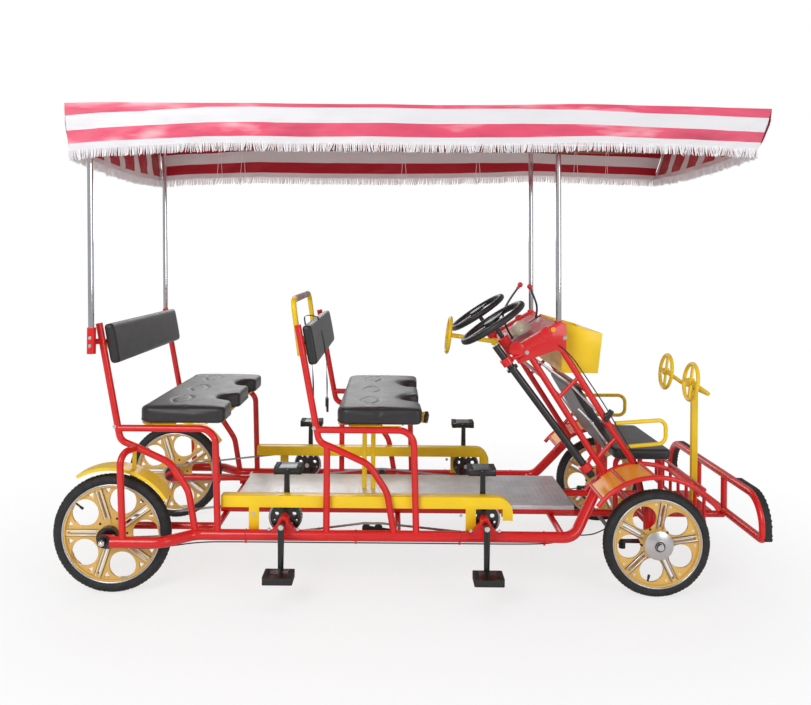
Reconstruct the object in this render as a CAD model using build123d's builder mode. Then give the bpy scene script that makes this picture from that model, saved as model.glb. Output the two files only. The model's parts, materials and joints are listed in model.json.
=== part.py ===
from build123d import *
import os
from math import atan2, cos, hypot, radians, sin

# Surrey quadricycle: four wheels, two bench seats, a child seat in front and a fringed roof.
# Millimetres. +X forward, +Y to the vehicle's left, +Z up, origin on the ground under the middle.

# Overall layout
wheel_base = 2100.0
front_overhang = 411.5
track = 880.0
roof_height = 1864.0
rear_wheel_diameter = 457.0
front_wheel_diameter = 414.0
tyre_width = 48.0
run_clearance = 0.05
seat_gap = 0.3
overrun = 5.0
weld_depth = 2.0

overall_length = rear_wheel_diameter / 2 + wheel_base + front_overhang
rear_axle_x = -overall_length / 2 + rear_wheel_diameter / 2
front_axle_x = rear_axle_x + wheel_base
front_end_x = overall_length / 2
rear_axle_z = rear_wheel_diameter / 2
front_axle_z = front_wheel_diameter / 2
wheel_y = track / 2

# Frame tubes
rail_radius = 21.0
rail_z = 224.0
cross_radius = 12.0
inner_rail_overhang = 48.0
inner_rail_radius = 20.0
inner_rail_y = 200.0
frame_tube_radius = 13.0
flare_y = 532.0
flare_back_reach = 216.5
flare_front_reach = 319.5
rail_bend = 70.0
rail_rise_setback = 318.5
rail_end_setback = 184.5
rail_end_z = 418.0
dropout_thickness = 8.0
dropout_height = 46.0
dropout_length = 52.0

# Wheels
rim_share = 0.836
tyre_section_shares = (
    # height of the tread over its seat, half width, as shares of the tread's height and width
    (0.0, 0.36),
    (0.45, 0.50),
    (0.84, 0.40),
    (1.0, 0.17),
)
hub_radius = 36.0
hub_length = 70.0
axle_radius = 8.0
web_thickness = 10.0
rim_band = 12.0
rim_width = 34.0
spoke_width = 20.0
spoke_thickness = 22.0
spoke_count = 5
rear_hole_radius = 52.0
rear_hole_circle = 130.0
front_hole_radius = 46.0
front_hole_circle = 106.0
rear_first_spoke_angle = 36.0
front_first_spoke_angle = 8.0
drum_radius = 40.0
drum_length = 30.0
axle_nut_radius = 13.0
axle_nut_length = 12.0
end_washer_radius = 24.0
end_washer_thickness = 5.0
hub_cap_length = 8.0
stay_y = 343.0
stay_radius = 14.0

# Cranks, pedals and chains
crank_length = 165.0
crank_z = 282.0
rear_crank_reach = 661.5
front_crank_setback = 663.5
spindle_radius = 9.0
shell_radius = 20.0
shell_inner_y = 408.0
shell_outer_y = 474.0
gusset_half_length = 62.0
gusset_thickness = 30.0
outer_arm_y = 520.0
inner_arm_y = 364.0
arm_thickness = 12.0
arm_width = 24.0
arm_tip_width = 20.0
pedal_length = 104.0
pedal_width = 94.0
pedal_thickness = 25.0
pedal_axle_radius = 6.0
pedal_gap = 3.0
chainring_radius = 60.0
chainring_thickness = 4.0
long_chain_y = 399.0
drive_chain_y = 387.0
chain_width = 7.0
chain_height = 7.0
chain_play = 0.5
wheel_sprocket_radius = 38.0
pulley_radius = 16.0
pulley_thickness = 6.0
pulley_pitch = 48.0
tensioner_setback = 47.5
tensioner_lift = 41.0
tensioner_arm = 4.0
tensioner_y = 388.0

# Chain guards
guard_back_overhang = 3.0
guard_front_lead = 50.0
guard_bottom_z = 325.0
guard_top_z = 370.0
guard_inner_y = 376.0
guard_outer_y = 424.0
guard_wall = 2.0
guard_hook = 44.0
guard_nose = 61.6
guard_leg_width = 40.0
guard_leg_shares = (0.12, 0.905)

# Floor
floor_back_reach = 416.5
floor_front_setback = 268.5
floor_thickness = 3.0
floor_half_width = 220.3
floor_lip = 14.0
rear_cross_reach = 383.5
middle_cross_lead = 315.0
front_cross_setback = 358.5

# Seat frames, shared by both benches
seat_rail_z = 632.0
seat_depth = 386.0
rear_seat_lead = 19.5
middle_seat_lead = 125.0
seat_bend = 60.0
strut_share = 0.10
s_branch_shares = (
    # forward of the seat's back corner, height over the ground, as shares of depth and rail height
    (-0.205, 1.640),
    (-0.018, 1.040),
    (0.020, 0.925),
    (0.150, 0.893),
    (0.520, 0.790),
    (0.705, 0.620),
    (0.780, 0.355),
)
s_branch_bend_shares = (0.30, 0.11, 0.11, 0.25, 0.30)
hoop_rise_share = 0.88
hoop_front_share = 0.18
hoop_back_reach = 56.0
hoop_bend = 48.0
strut_foot_share = 0.9
bench_half_width = 440.0
pan_thickness = 5.0
pan_start_share = 0.20
pan_end_share = 0.98
pad_start_share = 0.185
pad_length = 335.0
pad_thickness = 64.0
pad_corner = 40.0
pad_edge_share = 0.22
scallop_radius = 92.0
scallop_y = 190.0
back_pad_height = 156.0
back_pad_thickness = 38.0
back_pad_low_z = 880.0
back_pad_corner = 16.0
back_pad_edge_share = 0.25
back_cross_radius = 9.0
back_cross_z = 962.0
post_radius = 11.0
socket_radius = 16.5
socket_length = 88.0
socket_brace_height = 33.0

# Grab bar behind the middle bench
grab_radius = 11.0
grab_rise_z = 1125.0
grab_low_z = 900.0
grab_half_width = 300.0
grab_back = 62.0
grab_bend = 45.0

# Middle pedestal and the seat lever
pedestal_size = 20.0
pedestal_lead = 187.0
pedestal_pitch = 38.0
lever_radius = 7.0
lever_knob_radius = 14.0
lever_reach = 125.0
lever_y = -250.0

# Roof
rear_post_y = 487.0
front_post_y = 322.0
rear_post_setback = 90.0
rear_post_rake = 14.0
rear_post_foot_z = 935.0
front_post_setback = 14.0
front_post_rake = 10.0
front_post_foot_z = 960.0
canopy_back_overhang = 44.0
canopy_front_setback = 48.0
canopy_front_inset = 48.0
canopy_back_inset = 12.0
canopy_half_width = 592.0
canopy_drop = 165.0
canopy_wall = 4.0
roof_tube_radius = 9.0
roof_inset = 34.0
bow_place_shares = (0.33, 0.52, 0.985)

# Tower with the dash
tower_y = 322.0
tower_setback = 344.5
tower_front_z = 935.0
tower_reach = 345.0
tower_drop = 665.0
tower_front_shares = ((0.0, 0.0), (0.600, 0.490), (0.860, 0.690), (0.985, 0.975))
tower_rear_shares = ((-0.475, -0.045), (0.500, 0.735), (0.470, 0.800))
tower_rung_shares = (((-0.050, 0.295), (0.198, 0.162)), ((0.409, 0.662), (0.640, 0.522)))
tower_rear_bend = 21.0
tower_bar_shares = ((0.315, 0.257), (0.600, 0.490), (-0.200, 0.175))
rung_radius = 8.0
dash_low_setback = 206.0
dash_low_z = 925.0
dash_high_setback = 14.0
dash_high_z = 1040.0
dash_sheet = 4.0
dash_crown = 12.0
dash_side_height = 46.0
dash_side_thickness = 32.0
gusset_plate_width = 60.0

# Steering
steer_wheel_radius = 150.0
steer_rim_radius = 13.0
steer_setback = 277.0
steer_z = 1040.0
steer_y = 300.0
steer_angle = 56.0
steer_shaft_radius = 10.0
steer_shaft_length = 100.0
steer_hub_radius = 34.0
steer_hub_length = 26.0
steer_spoke_width = 26.0
steer_spoke_thickness = 8.0
steer_spoke_start_angle = 90.0
column_radius = 15.0
column_y = 362.0
column_top_lead = 3.0
column_top_z = 955.0
column_low_lead = 114.0
column_low_z = 441.0
bearing_radius = 24.0
bearing_length = 30.0
column_collar_length = 12.0
steer_bearing_depth = 44.0
bearing_shares = (
    # place along the column, then the tower point it is braced to
    (0.12, (-0.400, 0.015)),
    (0.93, (0.365, 0.627)),
)

# Toy steering wheels for children
toy_radius = 84.0
toy_rim_radius = 8.0
toy_hub_radius = 16.0
toy_hub_length = 24.0
toy_post_setback = 102.0
toy_post_size = 25.0
toy_post_top_z = 760.0
toy_wheel_y = 153.0
toy_arm_reach = 73.0
toy_wheel_z = 785.0
toy_arm_radius = 9.0
toy_lean_share = 0.12
toy_spoke_start_angle = 0.0
dash_toy_setback = 157.0
dash_toy_z = 960.0
dash_toy_shaft_radius = 10.0

# Basket
basket_lead = 181.0
basket_top_z = 1040.0
basket_front_top_z = 995.0
basket_bottom_z = 832.0
basket_half_width = 250.0
basket_taper = 18.0
basket_wall = 3.0

# Child seat
child_seat_setback = 108.5
child_seat_length = 235.0
child_seat_z = 475.0
child_seat_thickness = 45.0
child_pad_edge_share = 0.25
child_half_width = 245.0
child_back_height = 300.0
child_back_thickness = 36.0
child_back_lean_angle = 31.0
child_back_hold_share = 0.42
armrest_y = 285.0
armrest_radius = 8.0
armrest_bend = 32.0
armrest_low_z = 555.0
armrest_high_z = 650.0
armrest_front_setback = 40.0
child_tube_radius = 11.0
child_tube_bend = 33.0
armrest_high_share = (0.625, 0.440)
armrest_low_share = (0.770, 0.580)

# Front axle, knuckles and tie rod
kingpin_y = 365.0
kingpin_radius = 10.0
housing_radius = 26.0
housing_low_z = 232.0
housing_high_z = 335.0
knuckle_radius = 21.0
knuckle_low_z = 182.0
knuckle_gap = 3.0
beam_radius = 16.0
steer_arm_length = 110.0
steer_arm_width = 24.0
steer_arm_root_radius = 16.8
steer_arm_thickness = 8.0
tie_rod_radius = 8.0
tie_eye_radius = 13.0
tie_pin_radius = 6.0
tie_open_play = 1.0
long_tube_y = 140.0
long_tube_radius = 14.0

# Front bumper and guard
bumper_tube_radius = 16.0
bumper_upright_radius = 13.0
bumper_half_width = 500.0
bumper_top_z = 392.0
bumper_low_z = 240.0
bumper_corner = 115.0
bumper_foot = 24.0
rubber_depth = 18.0
rubber_inner_y = 250.0
guard_bar_radius = 7.0
front_guard_setback = 68.0
front_guard_top_z = 372.0
front_guard_half_width = 300.0
front_guard_bar_count = 7

# Fenders
fender_thickness = 2.0
fender_lip = 12.0
front_fender_radius = 281.0
front_fender_width = 200.0
front_fender_setback = 23.5
front_fender_center_z = 200.0
front_fender_start_angle = 35.0
front_fender_end_angle = 143.0
rear_fender_radius = 262.0
rear_fender_width = 90.0
rear_fender_start_angle = 33.0
rear_fender_end_angle = 119.0
fender_tube_radius = 9.0
fender_bar_radius = 7.0
fender_inner_y = 322.0
fender_bar_shares = (0.06, 0.30, 0.52, 0.74, 0.94)
fender_panel_shares = ((0.53, 0.73), (0.75, 0.93))
rear_strut_share = 0.45
strut_rise_share = 0.86

# Stations measured from the rear axle
flare_back_x = rear_axle_x + flare_back_reach
flare_front_x = rear_axle_x + flare_front_reach
floor_back_x = rear_axle_x + floor_back_reach
guard_back_x = floor_back_x - guard_back_overhang
rear_crank_x = rear_axle_x + rear_crank_reach
rear_seat_x = rear_axle_x + rear_seat_lead
middle_seat_x = rear_crank_x + middle_seat_lead
pedestal_x = middle_seat_x + pedestal_lead
rear_post_foot_x = rear_seat_x - rear_post_setback
rear_post_top_x = rear_post_foot_x - rear_post_rake
canopy_back_x = rear_post_top_x - canopy_back_overhang

# Stations measured back from the front axle and the front end
rail_rise_x = front_axle_x - rail_rise_setback
rail_end_x = front_axle_x - rail_end_setback
floor_front_x = front_axle_x - floor_front_setback
front_crank_x = front_axle_x - front_crank_setback
guard_front_x = front_crank_x + guard_front_lead
tensioner_x = (rear_crank_x + front_crank_x) / 2 - tensioner_setback
cross_tube_x = (
    rear_axle_x + rear_cross_reach,
    middle_seat_x + middle_cross_lead,
    front_axle_x - front_cross_setback,
)
tower_front_x = front_axle_x - tower_setback
front_post_foot_x = tower_front_x - front_post_setback
front_post_top_x = front_post_foot_x - front_post_rake
dash_low_x = tower_front_x - dash_low_setback
dash_high_x = tower_front_x - dash_high_setback
steer_x = tower_front_x - steer_setback
column_top_x = steer_x + column_top_lead
column_low_x = tower_front_x + column_low_lead
dash_toy_x = steer_x - dash_toy_setback
basket_front_x = tower_front_x + basket_lead
child_seat_back_x = front_axle_x - child_seat_setback
child_seat_front_x = child_seat_back_x + child_seat_length
armrest_front_x = child_seat_front_x - armrest_front_setback
front_fender_center_x = front_axle_x - front_fender_setback
toy_post_x = front_end_x - toy_post_setback
toy_wheel_x = toy_post_x - toy_arm_reach
front_guard_x = toy_post_x - front_guard_setback
canopy_front_x = front_end_x - canopy_front_setback

# Worked-out sizes
bumper_x = front_end_x - rubber_depth - bumper_tube_radius / 2
inner_rail_z = rail_z + cross_radius + inner_rail_radius
floor_z = inner_rail_z + inner_rail_radius
pan_z = seat_rail_z + frame_tube_radius
pad_z = pan_z + pan_thickness + seat_gap
roof_tube_z = roof_height - canopy_wall - seat_gap - roof_tube_radius
post_top_z = roof_tube_z - roof_tube_radius
beam_z = rail_z + long_tube_radius + beam_radius
sides = (("right", -1), ("left", 1))


def pipe(radius, points, bends=None, mode=Mode.ADD):
    """A round tube along straight runs joined by tangent arcs."""
    if bends is None:
        start = Vector(points[0])
        run = Vector(points[1]) - start
        with BuildSketch(Plane(origin=start, z_dir=run)) as section:
            Circle(radius)
        extrude(section.sketch, amount=run.length, mode=mode)
        return
    with BuildLine() as route:
        FilletPolyline(*points, radius=bends)
    with BuildSketch(Plane(origin=route.line @ 0, z_dir=route.line % 0)) as section:
        Circle(radius)
    sweep(section.sketch, path=route.line, mode=mode)


def rod_y(x, z, y_from, y_to, radius, mode=Mode.ADD):
    """A round bar along Y between two stations."""
    low, high = sorted((y_from, y_to))
    with BuildSketch(Plane.XZ.offset(-high)) as section:
        with Locations((x, z)):
            Circle(radius)
    extrude(section.sketch, amount=high - low, mode=mode)


def slab(outline, y_middle, thickness, mode=Mode.ADD):
    """A flat plate drawn in X and Z and thickened evenly along Y."""
    with BuildSketch(Plane.XZ.offset(-y_middle)) as section:
        with BuildLine():
            Polyline(*outline, close=True)
        make_face()
    extrude(section.sketch, amount=thickness / 2, both=True, mode=mode)


def block(x_from, x_to, y_from, y_to, z_from, z_to, mode=Mode.ADD):
    """A straight-sided block between two corners."""
    with BuildSketch(Plane.XY.offset(z_from)) as section:
        with Locations(((x_from + x_to) / 2, (y_from + y_to) / 2)):
            Rectangle(abs(x_to - x_from), abs(y_to - y_from))
    extrude(section.sketch, amount=z_to - z_from, mode=mode)


def save(piece, name):
    """Labels a finished piece and writes its file."""
    piece.part.label = name
    export_step(piece.part, f"parts/{name}.step")


os.makedirs("parts", exist_ok=True)


# Outer side rails with the flare round each rear wheel
with BuildPart() as side_rails:
    for side_name, side in sides:
        pipe(
            rail_radius,
            [
                (rear_axle_x + dropout_length / 2, side * flare_y, rail_z),
                (flare_back_x, side * flare_y, rail_z),
                (flare_front_x, side * wheel_y, rail_z),
                (rail_rise_x, side * wheel_y, rail_z),
                (rail_end_x, side * tower_y, rail_end_z),
            ],
            [rail_bend, rail_bend, rail_bend],
        )
        with BuildSketch(Plane.XZ.offset(-side * flare_y)):
            with Locations((rear_axle_x + dropout_length / 4, rear_axle_z)):
                SlotOverall(dropout_length * 3 / 2, dropout_height)
        extrude(amount=dropout_thickness / 2, both=True)
        rod_y(
            rear_axle_x,
            rear_axle_z,
            side * (flare_y - rail_radius - overrun),
            side * (flare_y + rail_radius + overrun),
            axle_radius + run_clearance,
            Mode.SUBTRACT,
        )
save(side_rails, "side_rails")

# Cross tubes between the side rails
with BuildPart() as cross_tubes:
    for tube_x in cross_tube_x:
        pipe(cross_radius, [(tube_x, -wheel_y, rail_z), (tube_x, wheel_y, rail_z)])
    add(side_rails.part, mode=Mode.SUBTRACT)
save(cross_tubes, "cross_tubes")

# Inner rails under the floor plate
with BuildPart() as inner_rails:
    for side_name, side in sides:
        pipe(
            inner_rail_radius,
            [
                (floor_back_x - inner_rail_overhang, side * inner_rail_y, inner_rail_z),
                (floor_front_x, side * inner_rail_y, inner_rail_z),
            ],
        )
save(inner_rails, "inner_rails")

# Stays that carry the inner ends of the rear axles
with BuildPart() as rear_stays:
    for side_name, side in sides:
        pipe(
            stay_radius,
            [
                (rear_axle_x + dropout_length / 2, side * stay_y, rail_z),
                (cross_tube_x[0], side * stay_y, rail_z),
            ],
        )
        with BuildSketch(Plane.XZ.offset(-side * stay_y)):
            with Locations((rear_axle_x + dropout_length / 4, rear_axle_z)):
                SlotOverall(dropout_length * 3 / 2, dropout_height)
        extrude(amount=dropout_thickness / 2, both=True)
        rod_y(
            rear_axle_x,
            rear_axle_z,
            side * (stay_y - stay_radius - overrun),
            side * (stay_y + stay_radius + overrun),
            axle_radius + run_clearance,
            Mode.SUBTRACT,
        )
    add(cross_tubes.part, mode=Mode.SUBTRACT)
save(rear_stays, "rear_stays")

# Floor plate with turned-down edges
with BuildPart() as floor_plate:
    block(
        floor_back_x,
        floor_front_x,
        -floor_half_width,
        floor_half_width,
        floor_z,
        floor_z + floor_thickness,
    )
    for side_name, side in sides:
        block(
            floor_back_x,
            floor_front_x,
            side * floor_half_width,
            side * (floor_half_width + floor_thickness),
            floor_z - floor_lip,
            floor_z + floor_thickness,
        )
save(floor_plate, "floor_plate")


# Tyres and spoked wheels
def wheel_section(radius, seat_radius, width):
    """Half outline of a tyre as (radius, across) pairs for a turned ring."""
    depth = radius - seat_radius
    near = [(seat_radius + depth * up, -width * out) for up, out in tyre_section_shares]
    far = [(seat_radius + depth * up, width * out) for up, out in reversed(tyre_section_shares)]
    return near + far


def make_wheel(axle, side, radius, hole_radius, hole_circle, first_spoke_angle, bore):
    """A tyre and its cast wheel, turned about the axle's line."""
    x, z = axle
    y = side * wheel_y
    seat = radius * rim_share
    centre = Plane(origin=(x, y, z), x_dir=(1, 0, 0), z_dir=(0, 0, 1))
    line = Axis((x, y, z), (0, 1, 0))
    with BuildPart() as tyre:
        with BuildSketch(centre):
            with BuildLine():
                Polyline(*wheel_section(radius, seat, tyre_width), close=True)
            make_face()
        revolve(axis=line)
    with BuildPart() as rim:
        rod_y(x, z, y - rim_width / 2, y + rim_width / 2, seat)
        rod_y(x, z, y - rim_width / 2, y + rim_width / 2, seat - rim_band, Mode.SUBTRACT)
        rod_y(x, z, y - web_thickness / 2, y + web_thickness / 2, seat - rim_band / 2)
        with BuildSketch(Plane.XZ.offset(-y)):
            with Locations((x, z)):
                with PolarLocations(hole_circle, spoke_count, first_spoke_angle + 180 / spoke_count):
                    Circle(hole_radius)
        extrude(amount=rim_width, both=True, mode=Mode.SUBTRACT)
        with BuildSketch(Plane.XZ.offset(-y)):
            with Locations((x, z)):
                with PolarLocations((seat - rim_band / 2) / 2, spoke_count, first_spoke_angle):
                    Rectangle(seat - rim_band / 2, spoke_width)
        extrude(amount=spoke_thickness / 2, both=True)
        rod_y(x, z, y - hub_length / 2, y + hub_length / 2, hub_radius)
        rod_y(x, z, y - hub_length, y + hub_length, bore, Mode.SUBTRACT)
    return tyre, rim


wheel_sets = (
    # position, axle place, radius, lightening hole radius, hole circle radius, first spoke angle, bore
    (
        "rear",
        (rear_axle_x, rear_axle_z),
        rear_wheel_diameter / 2,
        rear_hole_radius,
        rear_hole_circle,
        rear_first_spoke_angle,
        axle_radius,
    ),
    (
        "front",
        (front_axle_x, front_axle_z),
        front_wheel_diameter / 2,
        front_hole_radius,
        front_hole_circle,
        front_first_spoke_angle,
        axle_radius + run_clearance,
    ),
)
for position, axle, radius, hole_radius, hole_circle, first_spoke_angle, bore in wheel_sets:
    for side_name, side in sides:
        tyre, rim = make_wheel(axle, side, radius, hole_radius, hole_circle, first_spoke_angle, bore)
        save(tyre, f"tyre_{position}_{side_name}")
        save(rim, f"rim_{position}_{side_name}")

# Rear axles with brake drum, drive sprocket, washer and nuts
for side_name, side in sides:
    with BuildPart() as rear_axle:
        inner_end = stay_y - stay_radius - axle_nut_length
        outer_end = flare_y + end_washer_thickness * 2 + axle_nut_length
        rod_y(rear_axle_x, rear_axle_z, side * inner_end, side * outer_end, axle_radius)
        rod_y(
            rear_axle_x,
            rear_axle_z,
            side * (wheel_y + hub_length / 2),
            side * (wheel_y + hub_length / 2 + drum_length),
            drum_radius,
        )
        rod_y(
            rear_axle_x,
            rear_axle_z,
            side * (drive_chain_y - chainring_thickness / 2),
            side * (drive_chain_y + chainring_thickness / 2),
            wheel_sprocket_radius,
        )
        rod_y(
            rear_axle_x,
            rear_axle_z,
            side * (drive_chain_y + chainring_thickness / 2),
            side * (wheel_y - hub_length / 2),
            hub_radius / 2,
        )
        rod_y(
            rear_axle_x,
            rear_axle_z,
            side * (outer_end - axle_nut_length - end_washer_thickness),
            side * (outer_end - axle_nut_length),
            end_washer_radius,
        )
        rod_y(
            rear_axle_x,
            rear_axle_z,
            side * (outer_end - axle_nut_length),
            side * outer_end,
            axle_nut_radius,
        )
        rod_y(
            rear_axle_x,
            rear_axle_z,
            side * inner_end,
            side * (inner_end + axle_nut_length - overrun / 2),
            axle_nut_radius,
        )
    save(rear_axle, f"rear_axle_{side_name}")

# Bottom bracket shells on triangular gussets
crank_places = (("front", front_crank_x), ("rear", rear_crank_x))
with BuildPart() as crank_brackets:
    for side_name, side in sides:
        for place_name, crank_x in crank_places:
            slab(
                [
                    (crank_x - gusset_half_length, rail_z),
                    (crank_x + gusset_half_length, rail_z),
                    (crank_x + shell_radius / 2, crank_z + shell_radius / 2),
                    (crank_x - shell_radius / 2, crank_z + shell_radius / 2),
                ],
                side * wheel_y,
                gusset_thickness,
            )
            rod_y(crank_x, crank_z, side * shell_inner_y, side * shell_outer_y, shell_radius)
            rod_y(
                crank_x,
                crank_z,
                side * (shell_inner_y - overrun),
                side * (shell_outer_y + overrun),
                spindle_radius + run_clearance,
                Mode.SUBTRACT,
            )
    add(side_rails.part, mode=Mode.SUBTRACT)
save(crank_brackets, "crank_brackets")

# Crank sets: spindle, two arms, chainring and pedals
outer_pedal_y = outer_arm_y + arm_thickness / 2 + pedal_width / 2 + pedal_gap
inner_pedal_y = inner_arm_y - arm_thickness / 2 - pedal_width / 2 - pedal_gap
for place_name, crank_x in crank_places:
    for side_name, side in sides:
        # the near cranks point down outboard, the far ones up
        outer_turn = side
        with BuildPart() as crank_set:
            rod_y(
                crank_x,
                crank_z,
                side * (inner_arm_y - arm_thickness / 2),
                side * (outer_arm_y + arm_thickness / 2),
                spindle_radius,
            )
            for arm_y, turn in ((outer_arm_y, outer_turn), (inner_arm_y, -outer_turn)):
                with BuildSketch(Plane.XZ.offset(-side * arm_y)):
                    with Locations((crank_x, crank_z)):
                        Circle(arm_width / 2)
                    with Locations((crank_x, crank_z + turn * crank_length)):
                        Circle(arm_tip_width / 2)
                    make_hull()
                extrude(amount=arm_thickness / 2, both=True)
            rod_y(
                crank_x,
                crank_z,
                side * (long_chain_y - chainring_thickness / 2),
                side * (long_chain_y + chainring_thickness / 2),
                chainring_radius,
            )
            if place_name == "rear":
                rod_y(
                    crank_x,
                    crank_z,
                    side * (drive_chain_y - chainring_thickness / 2),
                    side * (drive_chain_y + chainring_thickness / 2),
                    chainring_radius,
                )
            for pedal_y, arm_y, turn in (
                (outer_pedal_y, outer_arm_y, outer_turn),
                (inner_pedal_y, inner_arm_y, -outer_turn),
            ):
                pedal_z = crank_z + turn * crank_length
                away = 1 if pedal_y > arm_y else -1
                block(
                    crank_x - pedal_length / 2,
                    crank_x + pedal_length / 2,
                    side * (pedal_y - pedal_width / 2),
                    side * (pedal_y + pedal_width / 2),
                    pedal_z - pedal_thickness / 2,
                    pedal_z + pedal_thickness / 2,
                )
                rod_y(
                    crank_x,
                    pedal_z,
                    side * (arm_y + away * arm_thickness / 2),
                    side * pedal_y,
                    pedal_axle_radius,
                )
        save(crank_set, f"crank_{place_name}_{side_name}")

# Chains: a long one between the two cranks and a drive chain back to the wheel
chain_radius = chainring_radius + chain_play + chain_height / 2
wheel_chain_radius = wheel_sprocket_radius + chain_play + chain_height / 2
lift_z = crank_z - chain_radius + tensioner_lift


def lower_corner(centre_x, away):
    """Where the lifted lower run meets the upright tangent of a chainring."""
    near_x = tensioner_x + away * pulley_pitch / 2
    run_x = centre_x - near_x
    run_z = crank_z - lift_z
    reach = hypot(run_x, run_z)
    swing = atan2(chain_radius, (reach**2 - chain_radius**2) ** (1 / 2))
    slope = atan2(run_z, abs(run_x)) - swing
    edge = abs(run_x) + chain_radius
    return (centre_x + away * chain_radius, lift_z + edge * sin(slope) / cos(slope))


with BuildPart() as chains:
    for side_name, side in sides:
        with BuildSketch(Plane.XZ.offset(-side * long_chain_y)):
            with BuildLine():
                FilletPolyline(
                    (rear_crank_x - chain_radius, crank_z + chain_radius),
                    (front_crank_x + chain_radius, crank_z + chain_radius),
                    lower_corner(front_crank_x, 1),
                    (tensioner_x + pulley_pitch / 2, lift_z),
                    (tensioner_x - pulley_pitch / 2, lift_z),
                    lower_corner(rear_crank_x, -1),
                    radius=[
                        chain_radius,
                        chain_radius,
                        pulley_radius,
                        pulley_radius,
                        chain_radius,
                        chain_radius,
                    ],
                    close=True,
                )
            make_face()
            offset(amount=chain_height / 2)
            offset(amount=-chain_height, mode=Mode.SUBTRACT)
        extrude(amount=chain_width / 2, both=True)
        for thickness, mode in ((chain_height / 2, Mode.ADD), (-chain_height / 2, Mode.SUBTRACT)):
            with BuildSketch(Plane.XZ.offset(-side * drive_chain_y)):
                with Locations((rear_crank_x, crank_z)):
                    Circle(chain_radius + thickness)
                with Locations((rear_axle_x, rear_axle_z)):
                    Circle(wheel_chain_radius + thickness)
                make_hull()
            extrude(amount=chain_width / 2, both=True, mode=mode)
save(chains, "chains")

# Chain tensioners with two pulleys each, carried by the middle cross tube
with BuildPart() as tensioners:
    pulley_z = lift_z - chain_height / 2 - seat_gap - pulley_radius
    for side_name, side in sides:
        slab(
            [
                (tensioner_x - pulley_pitch / 2 - pulley_radius / 2, pulley_z - pulley_radius / 2),
                (cross_tube_x[1], rail_z - cross_radius / 2),
                (cross_tube_x[1], rail_z + cross_radius / 2),
                (tensioner_x - pulley_pitch / 2 - pulley_radius / 2, pulley_z + pulley_radius / 2),
            ],
            side * tensioner_y,
            tensioner_arm,
        )
        for step in (-1, 1):
            rod_y(
                tensioner_x + step * pulley_pitch / 2,
                pulley_z,
                side * (tensioner_y + tensioner_arm / 2),
                side * (long_chain_y + pulley_thickness / 2),
                pulley_radius,
            )
    add(cross_tubes.part, mode=Mode.SUBTRACT)
save(tensioners, "chain_tensioners")

# Chain guards: inverted channels with a hooked front end and two legs each
guard_mid_y = (guard_inner_y + guard_outer_y) / 2
guard_width = guard_outer_y - guard_inner_y


def guard_outline(inset, foot_z):
    """Side outline of the guard, set in by a wall, with its mouth at a height."""
    nose_x = guard_front_x + guard_nose - inset
    nose_z = guard_top_z - guard_nose
    with BuildLine() as outline:
        Polyline(
            (nose_x, nose_z),
            (nose_x, foot_z - guard_hook),
            (guard_front_x + guard_hook / 2, foot_z - guard_hook),
            (guard_front_x + guard_hook / 2, foot_z),
            (guard_back_x + inset, foot_z),
            (guard_back_x + inset, guard_top_z - inset),
            (guard_front_x, guard_top_z - inset),
        )
        RadiusArc((guard_front_x, guard_top_z - inset), (nose_x, nose_z), guard_nose - inset)
    return outline.line


with BuildPart() as chain_guards:
    for side_name, side in sides:
        for inset, foot_z, mode in (
            (0, guard_bottom_z, Mode.ADD),
            (guard_wall, guard_bottom_z - overrun, Mode.SUBTRACT),
        ):
            with BuildSketch(Plane.XZ.offset(-side * guard_mid_y)):
                add(guard_outline(inset, foot_z))
                make_face()
            extrude(amount=guard_width / 2 - inset, both=True, mode=mode)
        for share in guard_leg_shares:
            leg_x = guard_back_x + share * (guard_front_x - guard_back_x)
            block(
                leg_x - guard_leg_width / 2,
                leg_x + guard_leg_width / 2,
                side * (guard_outer_y - guard_wall),
                side * guard_outer_y,
                rail_z,
                guard_bottom_z,
            )
    add(side_rails.part, mode=Mode.SUBTRACT)
save(chain_guards, "chain_guards")


# Bench side frames
def seat_point(seat_x, share, y):
    """A point of the bench frame from its share of the depth and of the rail height."""
    return (seat_x + share[0] * seat_depth, y, share[1] * seat_rail_z)


benches = (("rear", rear_seat_x), ("middle", middle_seat_x))
seat_frames = {}
for bench_name, seat_x in benches:
    with BuildPart() as seat_frame:
        for side_name, side in sides:
            y = side * wheel_y
            pipe(
                frame_tube_radius,
                [seat_point(seat_x, share, y) for share in s_branch_shares],
                [share * seat_depth for share in s_branch_bend_shares],
            )
            pipe(
                frame_tube_radius,
                [
                    (seat_x, y, seat_rail_z),
                    (seat_x + seat_depth - frame_tube_radius, y, seat_rail_z),
                    (seat_x + seat_depth, y, rail_z),
                ],
                [seat_bend],
            )
            if bench_name == "rear":
                pipe(
                    frame_tube_radius,
                    [
                        (rear_axle_x + hub_length, side * flare_y, rail_z),
                        (rear_axle_x + hoop_back_reach, side * flare_y, seat_rail_z * hoop_rise_share),
                        (seat_x + seat_depth * hoop_front_share, y, seat_rail_z * hoop_rise_share),
                    ],
                    [hoop_bend],
                )
            else:
                pipe(
                    frame_tube_radius,
                    [
                        (seat_x + strut_share * seat_depth, y, rail_z),
                        (seat_x + strut_share * seat_depth, y, seat_rail_z * strut_foot_share),
                    ],
                )
        add(side_rails.part, mode=Mode.SUBTRACT)
    save(seat_frame, f"seat_frame_{bench_name}")
    seat_frames[bench_name] = seat_frame.part

# Seat pans, pads and backrests
back_lean = atan2(
    (s_branch_shares[1][0] - s_branch_shares[0][0]) * seat_depth,
    (s_branch_shares[0][1] - s_branch_shares[1][1]) * seat_rail_z,
)


def back_line_x(seat_x, z):
    """The back tube's place along X at a height."""
    low = seat_point(seat_x, s_branch_shares[1], 0)
    return low[0] - (z - low[2]) * sin(back_lean) / cos(back_lean)


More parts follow.
